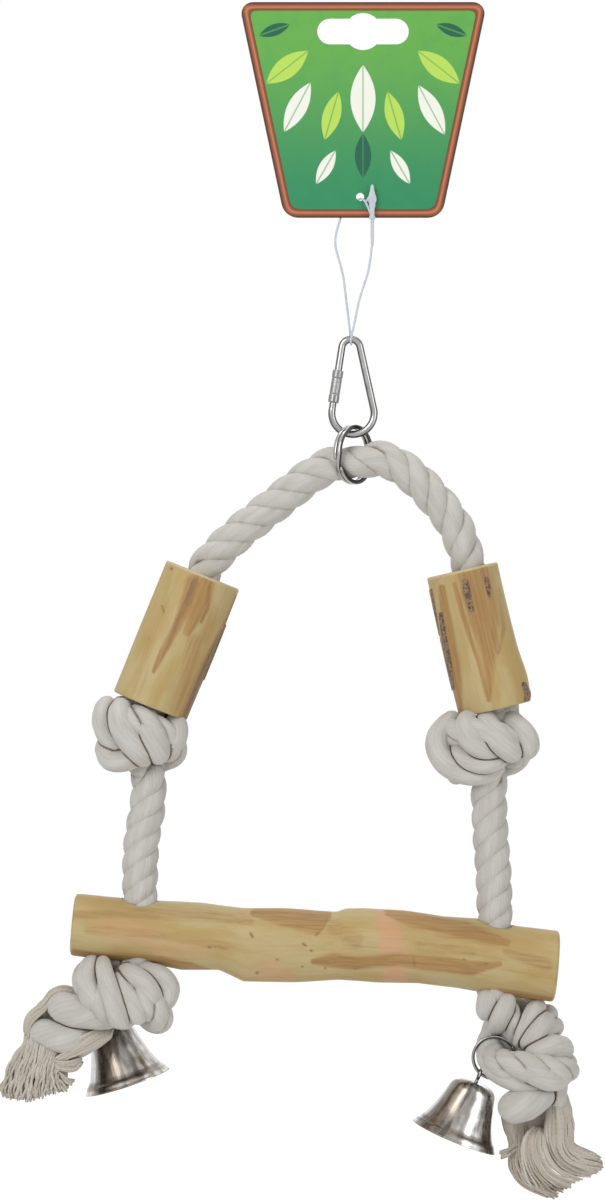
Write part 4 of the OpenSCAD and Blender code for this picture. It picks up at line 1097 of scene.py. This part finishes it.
def bore(piece, holes):
    """Cuts the rope's holes through a piece, and leaves the result as its mesh."""
    cutters = []
    for hole in holes:
        g = tube_grid(np.linspace(hole + [0, 0, 20], hole - [0, 0, 20], 12), PERCH_HOLE_R, 64, RIGHT)
        cutters.append({"points": g, "grain": g * [1, 1, 0.05], "cut": np.ones(g.shape[:2]),
                        **{key: np.zeros(g.shape[:2]) for key in ("stain", "bark", "blush")}})
    cutter = build("hole_cutter", cutters, piece.data.materials[0], None)
    cut = piece.modifiers.new("holes", "BOOLEAN")
    cut.operation, cut.object, cut.solver = "DIFFERENCE", cutter, "EXACT"
    bpy.context.view_layer.update()
    done = bpy.data.meshes.new_from_object(piece.evaluated_get(bpy.context.evaluated_depsgraph_get()))
    piece.modifiers.clear()
    old, piece.data = piece.data, done
    bpy.data.meshes.remove(old)
    bpy.data.objects.remove(cutter, do_unlink=True)


perch()


# ---------------------------------------------------------------- steel
def turned(profile, origin, sides, right=RIGHT, up=UP, dent=1.0):
    """A closed section (out, up) turned about an axis: origin + out (cos a right + sin a back)
    dent + up's share of it."""
    section, a = np.array(profile)[:, :, None, None], circle(sides)
    return (origin + section[:, 0] * (np.cos(a) * dent)[None, :, None] * right
            + section[:, 0] * (np.sin(a) * dent)[None, :, None] * BACK + section[:, 1] * up)


def ring_wire(centre, radius, one, two, wire_r, sides=16):
    """A wire round a circle in the plane of two directions. With out = one cos a + two sin a it
    lies at centre + out (radius + wire_r cos b) - (one x two) wire_r sin b."""
    a, b = circle(60)[:, None], circle(sides)[:, None]
    out = np.cos(a) * one + np.sin(a) * two
    return centre + out[:, None] * (radius + wire_r * np.cos(b)) - np.cross(one, two) * wire_r * np.sin(b)


def two_coils(end, points, start, one, two, step):
    """A wire wound twice round in the plane of two directions: its turns from the first end, its
    way out at each, and its side from -1 to 1, which changes over a short step half way."""
    t = np.linspace(end, 2 - end, points)
    turn = (t * 2 * np.pi + start)[:, None]
    return t, np.cos(turn) * one + np.sin(turn) * two, (eased((t - 1) / step + 0.5) * 2 - 1)[:, None]


def drawn_in(run, depth, long=0.3):
    """How far a wire draws in near its two ends: depth (1 - d / long)^2."""
    return depth * np.clip(1 - np.minimum(run, run[-1] - run) / long, 0, 1)[:, None] ** 2


def steel(name, grids, material, body, loops=False, stands_for=()):
    """A steel piece, with the turn round its wires that places its painted reflection lines."""
    return build(name, [with_reflection_turn(g) for g in grids], material, body, loops, stands_for)


BELL_RIM_R, BELL_H, BELL_WALL = 15.3, 21.0, 0.6


def nickel():
    """A bell's nickel with painted reflections. The mesh gives "brush_and_reflection": the turn about
    the bell as a cosine and sine, and the height in millimetres. Three broad bands round it are
    painted reflections, duller and brighter by turns, finer streaks run down it, and the step above
    the lip is painted dark, a painted shade."""
    it = Finish("bell_nickel", Metallic=1.0, Roughness=0.26)
    brush_and_reflection = it.vector("brush_and_reflection")
    turn, height = it.turn(brush_and_reflection)
    bands = it.noise(it.stretch(brush_and_reflection, 2.5, 2.5, 0.05), 1.0, 1.0)
    lines = it.noise(it.stretch(brush_and_reflection, 5.0, 5.0, 0.07), 1.0, 2.0, 0.55)
    mottle = it.noise(it.stretch(brush_and_reflection, 4.0, 4.0, 0.3), 1.0, 1.5)
    # Painted reflections: three broad bands round the bell, darker and lighter by turns
    wide = it.maths("COSINE", turn * 3.0 + bands * 3.0)
    # Painted shade: a dark line in the step above the lip
    step = it.spread(abs(height + 0.87 * BELL_H), 0.2, 1.5, 0.5, 0.0)
    tone = wide * 0.32 + lines * 0.8 + mottle * 0.45 - step
    dull = it.mix(it.between(lines, 0.35, 0.65), shade(0.36, 0.345, 0.325), shade(0.53, 0.48, 0.43))
    bright = it.mix(it.between(tone, 0.72, 1.1), shade(0.62, 0.60, 0.58), shade(0.90, 0.90, 0.91))
    it.roughness(it.spread(mottle, 0.3, 0.7, 0.2, 0.34))
    it.bump(lines, 0.03, 0.2)
    return it.colour(it.mix(it.between(tone, 0.22, 0.80), dull, bright))


STEEL = plated("bright_steel", (0.54, 0.54, 0.535), 0.2)
RING_STEEL = plated("ring_steel", (0.56, 0.555, 0.545), 0.2)
BELL_STEEL = nickel()
NUT_STEEL = plated("nut_steel", (0.45, 0.45, 0.445), 0.28)

# Quick link
LINK_WIRE_R, LINK_TOP_R, LINK_BOTTOM_R, BENDS_APART, LINK_LEAN = 1.15, 3.2, 7.4, 22.7, 1.75
WIRE_MORE, THREAD_DEEP, THREAD_PITCH = 0.14, 0.07, 0.5
NUT_R, NUT_LEN, NUT_REST, NUT_GRIP, GATE = 1.8, 11.5, 2.6, 2.0, 4.0
link_eye = pivot("link_swing") - [0, 0, LINK_TOP_R]
link_right, link_up = leaning(-LINK_LEAN)
flare = math.asin((LINK_BOTTOM_R - LINK_TOP_R) / BENDS_APART)
leg_len = math.sqrt(BENDS_APART ** 2 - (LINK_BOTTOM_R - LINK_TOP_R) ** 2)


def on_link(p):
    """Places points drawn about the link's top bend on the leaning link."""
    return link_eye + p @ np.array([link_right, BACK, link_up])


def leg(start, end, count):
    """Points down the link's left leg, from one length below the top bend to another."""
    top = np.array([-LINK_TOP_R * math.cos(flare), 0, LINK_TOP_R * math.sin(flare)])
    return top - np.array([math.sin(flare), 0, math.cos(flare)]) * np.linspace(start, end, count)[:, None]


def link():
    """The wire from the gate's upper end, up and over the top bend, down the right leg, round
    the bottom bend and up to the gate's lower end, where a thread is cut."""
    def bend(radius, start, end, count):
        """Points on a bend about the origin, from one angle to another."""
        a = np.linspace(start, end, count)
        return radius * np.stack([np.cos(a), 0 * a, np.sin(a)], 1)

    lower = NUT_REST + NUT_GRIP
    line = np.vstack([leg(leg_len - lower - GATE, 0, 30)[:-1],
                      bend(LINK_TOP_R, math.pi - flare, flare, 40)[:-1],
                      leg(0, leg_len, 40)[:-1] * [-1, 1, 1],
                      bend(LINK_BOTTOM_R, flare, -math.pi - flare, 70)[:-1] - [0, 0, BENDS_APART],
                      leg(leg_len, leg_len - lower, 24)])
    line, run = spaced(on_link(line), 0.18)
    thread = (run > run[-1] - lower + 0.4)[:, None]
    wave = 1 + np.cos(run[:, None] * 2 * np.pi / THREAD_PITCH + circle(24)[None, :])
    radius = LINK_WIRE_R + WIRE_MORE - thread * THREAD_DEEP * wave - drawn_in(run, 0.25)
    steel("link_wire", [tube_grid(line, radius, 24)], STEEL, "link", stands_for=["link_body"])


def nut(sides=96):
    """The sleeve nut on the left leg: a knurled middle between two grooves and plain ends."""
    z = np.linspace(0, NUT_LEN, 120)
    plain = np.clip((np.abs(z - NUT_LEN / 2) - 2.6) / 0.3, 0, 1)[:, None]
    knurl = 0.07 * np.abs(np.sin(circle(sides) * 14))
    groove = np.exp(-((z - 2.9) / 0.18) ** 2) + np.exp(-((z - NUT_LEN + 2.9) / 0.18) ** 2)
    radius = NUT_R + 0.12 * plain - knurl * (1 - plain) - 0.22 * groove[:, None] - drawn_in(z, 0.3)
    start = leg_len - NUT_REST - NUT_LEN
    line = on_link(leg(start, start + NUT_LEN, len(z)))
    inner = tube_grid(line, LINK_WIRE_R + 0.1, sides)[::-1]
    build("link_nut", [{"points": np.vstack([tube_grid(line, radius, sides), inner])}], NUT_STEEL, "nut",
          loops=True, stands_for=["link_sleeve"])


# Split ring
RING_OUT_R, RING_WALL, COIL_W, RING_TURNED = 10.5, 1.6, 1.45, math.radians(54)


def split_ring():
    """Flat wire wound twice. The first coil lies behind the second, and the wire steps from
    one to the other on the ring's left; both its ends lie against the step."""
    across = np.array([math.cos(RING_TURNED), math.sin(RING_TURNED), 0])
    hole = np.array([-math.sin(RING_TURNED), math.cos(RING_TURNED), 0])
    t, out, side = two_coils(0.02, 420, math.radians(200), across, UP, 0.12)
    line = (box_of("rope_ring").mean(0) + out * (RING_OUT_R - RING_WALL / 2)
            + hole * side * (COIL_W / 2 + 0.04))
    corner = circle(28)
    high, wide = (np.sign(v) * np.abs(v) ** 0.55 for v in (np.cos(corner), np.sin(corner)))
    ends = np.clip(np.minimum(t - 0.02, 1.98 - t) / 0.012, 0.55, 1)[:, None, None]
    p = line[:, None] + ends * (out[:, None] * (RING_WALL / 2 * high)[None, :, None]
                                + hole * (COIL_W / 2 * wide)[None, :, None])
    steel("split_ring", [p[:, ::-1]], RING_STEEL, "ring", stands_for=["rope_ring"])


# Bells
BELL_DROPS = [0, 0.01, 0.05, 0.13, 0.3, 0.57, 0.76, 0.86, 0.89, 1]
BELL_OUTS = [0.08, 0.27, 0.42, 0.52, 0.585, 0.69, 0.8, 0.88, 0.93, 1]
BELL_RING_R, COIL_R = 7.3, 0.43
HANGER_R, EYE_R, EYE_DROP, INNER_EYE_R = 0.6, 1.75, 0.3, 1.5
CROWN_DROP = EYE_DROP + EYE_R + 2 * HANGER_R
INNER_EYE_DROP = CROWN_DROP + BELL_WALL + 0.15 + HANGER_R + INNER_EYE_R


def bell(side, lean, eye_way, ring_way, reflection_from, sides=144):
    """A pressed bell: its wall is the outline carried round its axis, with a rolled lip and
    very slight dents; with it come the hanger of wire and the wire ring."""
    body, hang = side + "_bell", pivot(side + "_bell_swing")
    right, up = leaning(lean)
    outline = np.array([[o * BELL_RIM_R, -d * BELL_H, 0] for o, d in zip(BELL_OUTS, BELL_DROPS)])
    line, _ = spaced(smooth(outline, 8), 0.4)
    inner = line - ways(line)[:, [1, 0, 2]] * [-BELL_WALL, BELL_WALL, 0]
    step = np.exp(-((line[:, 1] + BELL_H * 0.885) / 0.35) ** 2)
    line[:, 0] += 0.25 * np.exp(-((line[:, 1] + BELL_H) / 0.5) ** 2) - 0.168 * step
    section = np.vstack([[[0.75, 0, 0]], line, inner[::-1], [[0.75, -BELL_WALL, 0]]])[::-1, :2]
    a = circle(sides)
    dent = 1 + 0.0035 * np.sin(3 * a + 1) + 0.002 * np.sin(7 * a + 2) + 0.0012 * np.sin(13 * a)
    # The turn at which each bell's painted reflection bands start
    patterned = (a + reflection_from)[None, :]
    brush_and_reflection = np.stack(np.broadcast_arrays(np.cos(patterned), np.sin(patterned), section[:, 1, None]), -1)
    shell = {"points": turned(section, hang - up * CROWN_DROP, sides, right, up, dent), "brush_and_reflection": brush_and_reflection}
    build(body + "_shell", [shell], BELL_STEEL, body, loops=True, stands_for=[body])
    eyes = [ring_wire(hang - up * EYE_DROP, EYE_R, eye_way, up, HANGER_R),
            ring_wire(hang - up * INNER_EYE_DROP, INNER_EYE_R, BACK, up, HANGER_R)]
    steel(side + "_hanger_wire", eyes, STEEL, body, loops=True, stands_for=[body + "_hanger"])
    shank, _ = spaced(hang - np.outer([EYE_DROP + EYE_R, INNER_EYE_DROP - INNER_EYE_R], up), 0.2)
    steel(side + "_hanger_shank", [tube_grid(shank, HANGER_R, 16)], STEEL, body)
    hole = np.cross(ring_way, UP)
    _, out, half = two_coils(0.01, 360, 0.6, ring_way, UP, 0.14)
    coil = box_of(body + "_ring").mean(0) + out * (BELL_RING_R + 0.16 * half) + hole * half * 0.36
    steel(body + "_ring_wire", [tube_grid(coil, COIL_R, 16, hole)], RING_STEEL, "trapeze",
          stands_for=[body + "_ring"])


def clapper(side, ball_r=2.5, ball_drop=8.0, stem_r=0.4):
    """A ball on a wire that hangs from an eye."""
    body, hang = side + "_clapper", pivot(side + "_clapper_swing")
    eye = ring_wire(hang - [0, 0, 0.2], 1.35, RIGHT, UP, 0.4, 14)
    build(body + "_eye", [{"points": eye}], RING_STEEL, body, loops=True)
    stem = [(stem_r, -1.6), (stem_r, -4), (stem_r + 0.02, -5.45)]
    angles = np.linspace(0, math.pi, 40)[3:-1]
    ball = [(ball_r * math.sin(v), ball_r * math.cos(v) - ball_drop) for v in angles]
    grid = turned(stem + ball + [(0.02, -ball_r - ball_drop)], hang, 40)
    build(body + "_ball", [{"points": grid[::-1]}], RING_STEEL, body, stands_for=[body])


link()
nut()
split_ring()
# The last number turns each bell's painted reflection bands
bell("left", -18, leaning(-18)[0], BACK, 0.28)
bell("right", 22.5, BACK, RIGHT, 0.63)
clapper("left")
clapper("right")


# ---------------------------------------------------------------- nylon loop
FILAMENT_R, LATCH_LEN, BALL_R, TAB_LEN, LOOSE_GAP, CARD_T = 0.4, 10.0, 1.2, 9.5, 0.3, 0.6
LOOP_FRONT = [(4.15, -15.5), (2.9, -25), (-0.2, -35), (-2, -43.5)]
LOOP_BACK = [(-3.8, -44), (-4.9, -35), (-6, -26.5), (-8.4, -17.5), (-8.6, -13.5), (-7.6, -9), (-6, -5),
             (-3.2, -2)]
LATCH_TOP = off(4.2, -6.6)
# The tab's half widths at heights above the latch
TAB_AT = [0.4, 3.2, 3.8, 4.8, 5.6, 6.8, 9.4, 10.6, 11.2, 11.5]
TAB_WIDE = [0.8, 0.8, 1.15, 1.1, 1.45, 1.5, 0.75, 0.65, 0.5, 0.15]
BARB = [(0, 0, 9.2), (-0.7, 0, 7.6), (-1.5, 0, 6.4), (-2.1, 0, 5.6)]


def filament(hang, under, top, latch_off):
    """The filament's line: from the latch down round the link's top bend and back up through
    the card's hole to the latch."""
    at_card = CARD_T / 2 + LOOSE_GAP
    clear = LINK_WIRE_R + LOOSE_GAP + FILAMENT_R
    c = clear * math.cos(math.pi / 4)
    front = [hang + off(*p, -latch_off + (latch_off - clear) * i / 3) for i, p in enumerate(LOOP_FRONT)]
    back = [hang + off(*p, clear + (at_card + FILAMENT_R - clear) * min(i / 4, 1))
            for i, p in enumerate(LOOP_BACK)]
    bend = [under + off(0, *p) for p in ((0, -clear), (-c, -c), (-clear, 0), (-c, c), (0, clear))]
    hole = [hang + off(-LOOSE_GAP, 0, at_card), hang, hang + off(LOOSE_GAP, 0, -at_card),
            hang + off(1.8, -BALL_R, -latch_off)]
    return smooth(np.array([top - [0, 0, LATCH_LEN / 2], *front, *bend, *back, *hole, top]), 12)


def nylon_loop():
    """The filament, and on it the latch's barrel, ball, tab and barb."""
    hang, latch_off = pivot("loop_swing"), CARD_T / 2 + LOOSE_GAP + BALL_R
    top = hang + LATCH_TOP + off(0, 0, -latch_off)
    line, _ = spaced(filament(hang, pivot("link_swing"), top, latch_off), 0.3)
    barrel_z = np.linspace(-LATCH_LEN, 0, 60)
    barrel_r = np.interp(barrel_z, [-LATCH_LEN, -LATCH_LEN + 3, -0.5, 0], [0.45, 0.6, 0.64, 0.64])
    barrel = tube_grid(top + np.outer(barrel_z, UP), barrel_r, 24, RIGHT)
    angles = np.linspace(0.06, math.pi - 0.06, 24)
    ball = turned([(1.12 * math.sin(t), -1.12 * math.cos(t)) for t in angles], top, 28)
    tab_z, a = np.linspace(0.4, TAB_LEN + 2, 70), circle(32)
    wide = np.interp(tab_z, TAB_AT, TAB_WIDE)[:, None]
    thick = 0.42 - 0.16 * np.sin(a * 3) ** 2 * np.abs(np.cos(a)) ** 3
    across, deep = (np.sign(w) * np.abs(w) ** 0.6 for w in (np.cos(a), np.sin(a)))
    tab = (top + np.outer(tab_z, UP))[:, None] + ((wide * across)[..., None] * RIGHT
                                                  + (np.minimum(wide, 1) * thick * deep)[..., None] * BACK)
    barb, _ = spaced(smooth(top + np.array(BARB), 8), 0.2)
    grids = [tube_grid(line, FILAMENT_R, 14), barrel, ball, tab, tube_grid(barb, 0.42, 12)]
    build("nylon_filament", [{"points": g} for g in grids], nylon(), "loop", stands_for=["tag_loop"])


nylon_loop()


# ---------------------------------------------------------------- header card
CARD_TOP_W, CARD_BOTTOM_W, CARD_H, CARD_TOP = 87.0, 55.0, 75.5, 3.8
BORDER = 3.0
WHITE, LIME, DEEP = shade(0.94, 0.95, 0.90), shade(0.72, 0.86, 0.36), shade(0.05, 0.36, 0.26)
# Each leaf: its middle x and z, turn, length, width and colour
LEAVES = [(-26.5, -19, 38, 19, 7.5, LIME), (26.5, -19, 142, 19, 7.5, LIME), (-23, -33, 62, 20, 7, WHITE),
          (24, -34, 118, 20, 7, WHITE), (0, -30, 90, 24, 9, WHITE), (-11, -36, 74, 18, 6.5, LIME),
          (11, -36, 106, 18, 6.5, LIME), (0, -50, 90, 16, 6, DEEP), (-13, -54, 60, 14, 5, WHITE),
          (13, -54, 120, 14, 5, WHITE), (-31, -6, 20, 12, 4.4, DEEP), (31, -6, 160, 12, 4.4, DEEP)]
# The border's colours from its outer edge inwards, by their share of its width
BORDER_TONES = [(0.0, (0.20, 0.12, 0.08)), (0.18, (0.36, 0.19, 0.12)), (0.45, (0.66, 0.36, 0.23)),
                (0.6, (0.76, 0.50, 0.34)), (0.76, (0.60, 0.31, 0.19)), (1.0, (0.36, 0.18, 0.10))]


def leaf(it, x, z, cx, cz, turn, long, wide):
    """The share of a pointed leaf. With u and v along and across it, the leaf is where
    (1 - (2 u / long)^2) wide / 2 - |v| is above 0, and a paler rib runs along v = 0."""
    c, s = math.cos(math.radians(turn)), math.sin(math.radians(turn))
    dx, dz = x - cx, z - cz
    u, v = dx * c + dz * s, dz * c - dx * s
    inside = (1.0 - abs(u / (long / 2)) ** 2.0) * (wide / 2) - abs(v)
    return it.between(inside, 0.0, 0.25) * (1.0 - it.between(abs(v), 0.34, 0.18) * 0.6)


def card_print():
    """A glossy print: green that darkens downwards, with plain leaves, inside a round-looking
    brown border that follows the card's edge."""
    it = Finish("card_print", Roughness=0.3)
    where = it.stretch(it.object_place(), *[1 / MM] * 3)
    x, _, z = it.parts(where)
    slope = math.atan2((CARD_TOP_W - CARD_BOTTOM_W) / 2, CARD_H)
    from_top = CARD_TOP - z
    from_side = (CARD_TOP_W / 2 - from_top * math.tan(slope) - abs(x)) * math.cos(slope)
    edge = it.maths("SMOOTH_MIN", from_top, from_side, 4.0)
    edge = it.maths("SMOOTH_MIN", edge, z - (CARD_TOP - CARD_H), 5.0)
    down = it.between(from_top / CARD_H, 0.1, 0.95)
    field = it.mix(down, shade(0.39, 0.67, 0.28), shade(0.15, 0.53, 0.35))
    speckle = it.between(it.noise(where, 0.16, 2.0), 0.45, 0.7)
    field = it.mix(speckle * 0.2, field, shade(0.20, 0.58, 0.34))
    for *shape, tone in LEAVES:
        field = it.mix(leaf(it, x, z, *shape), field, tone)
    ramp = it.value("ValToRGB", edge / BORDER)
    stops = ramp.socket.node.color_ramp.elements
    tones = [(at, shade(*tone)) for at, tone in BORDER_TONES]
    stops[0].color, stops[1].color = tones[0][1], tones[-1][1]
    for at, tone in tones[1:-1]:
        stops.new(at).color = tone
    return it.colour(it.mix(it.between(edge, BORDER - 0.15, BORDER + 0.15), ramp, field))


for card_slot in frame["nodes"]["header_card"].material_slots:
    card_slot.material = card_print()


# ---------------------------------------------------------------- stage and light
FLOOR_HALF, FLOOR_Z = 9000.0, -470.0
LAMPS = [("key", (0.7, 0.9), 10.4, (-0.75, -1.05, 0.45)), ("fill", (0.5, 0.9), 3.8, (0.95, -0.8, -0.05)),
         ("behind", (0.9, 0.9), 3.0, (0.2, 1.3, 0.2)), ("top", (0.8, 0.5), 3.8, (0.0, 0.1, 0.7))]
LAMPS_AIM = (0, 0, -0.2)


def seen_white(it):
    """A share of 1 for rays from the camera and for rays that metal and nylon send on."""
    rays = it.value("LightPath").socket.node.outputs
    share, *others = [Value(it, rays[f"Is {kind} Ray"]) for kind in ("Camera", "Glossy", "Transmission")]
    for other in others:
        share = it.maths("MAXIMUM", share, other)
    return share


def make_floor():
    """A wide pale floor, which glows for the rays that should see white and is open from below."""
    it = Finish("pale_floor", Roughness=0.9)
    it.colour(it.mix(it.noise(it.object_place(), 3.0), shade(0.955, 0.955, 0.955), shade(0.97, 0.97, 0.97)))
    glow = it.value("Emission", (1, 1, 1, 1), 1.08)
    lit = it.value("MixShader", seen_white(it) * 0.9, Value(it, it.shader.outputs[0]), glow)
    from_below = it.value("NewGeometry", output="Backfacing")
    open_below = it.value("MixShader", from_below, lit, it.value("BsdfTransparent"))
    it.feed(it.nodes["Material Output"].inputs[0], open_below)
    corners = np.array([[-1, -1, 0], [1, -1, 0], [1, 1, 0], [-1, 1, 0]]) * FLOOR_HALF + [0, 0, FLOOR_Z]
    place("floor", corners, np.arange(4), np.array([4]), {}, it.material, None)


def make_light():
    """A white surround, dimmer as a light than it looks, and four soft lamps."""
    sky = Finish("surround", bpy.data.worlds.new("surround"))
    bpy.context.scene.world = sky.material
    plain, white = Value(sky, sky.nodes["Background"].outputs[0]), sky.value("Background")
    for ground, strength in ((plain, 0.31), (white, 1.0)):
        for socket, value in zip(ground.socket.node.inputs, ((1.0, 1.0, 1.0, 1.0), strength)):
            sky.feed(socket, value)
    sky.feed(sky.nodes["World Output"].inputs[0], sky.value("MixShader", seen_white(sky), plain, white))
    for name, size, power, where in LAMPS:
        data = bpy.data.lights.new(name, "AREA")
        data.shape, data.size, data.size_y, data.energy = "RECTANGLE", *size, power
        lamp = bpy.data.objects.new(name, data)
        bpy.context.scene.collection.objects.link(lamp)
        lamp.location = where
        lamp.rotation_euler = (Vector(LAMPS_AIM) - Vector(where)).to_track_quat("-Z", "Y").to_euler()


make_floor()
make_light()
bpy.context.scene.view_settings.view_transform = "Standard"
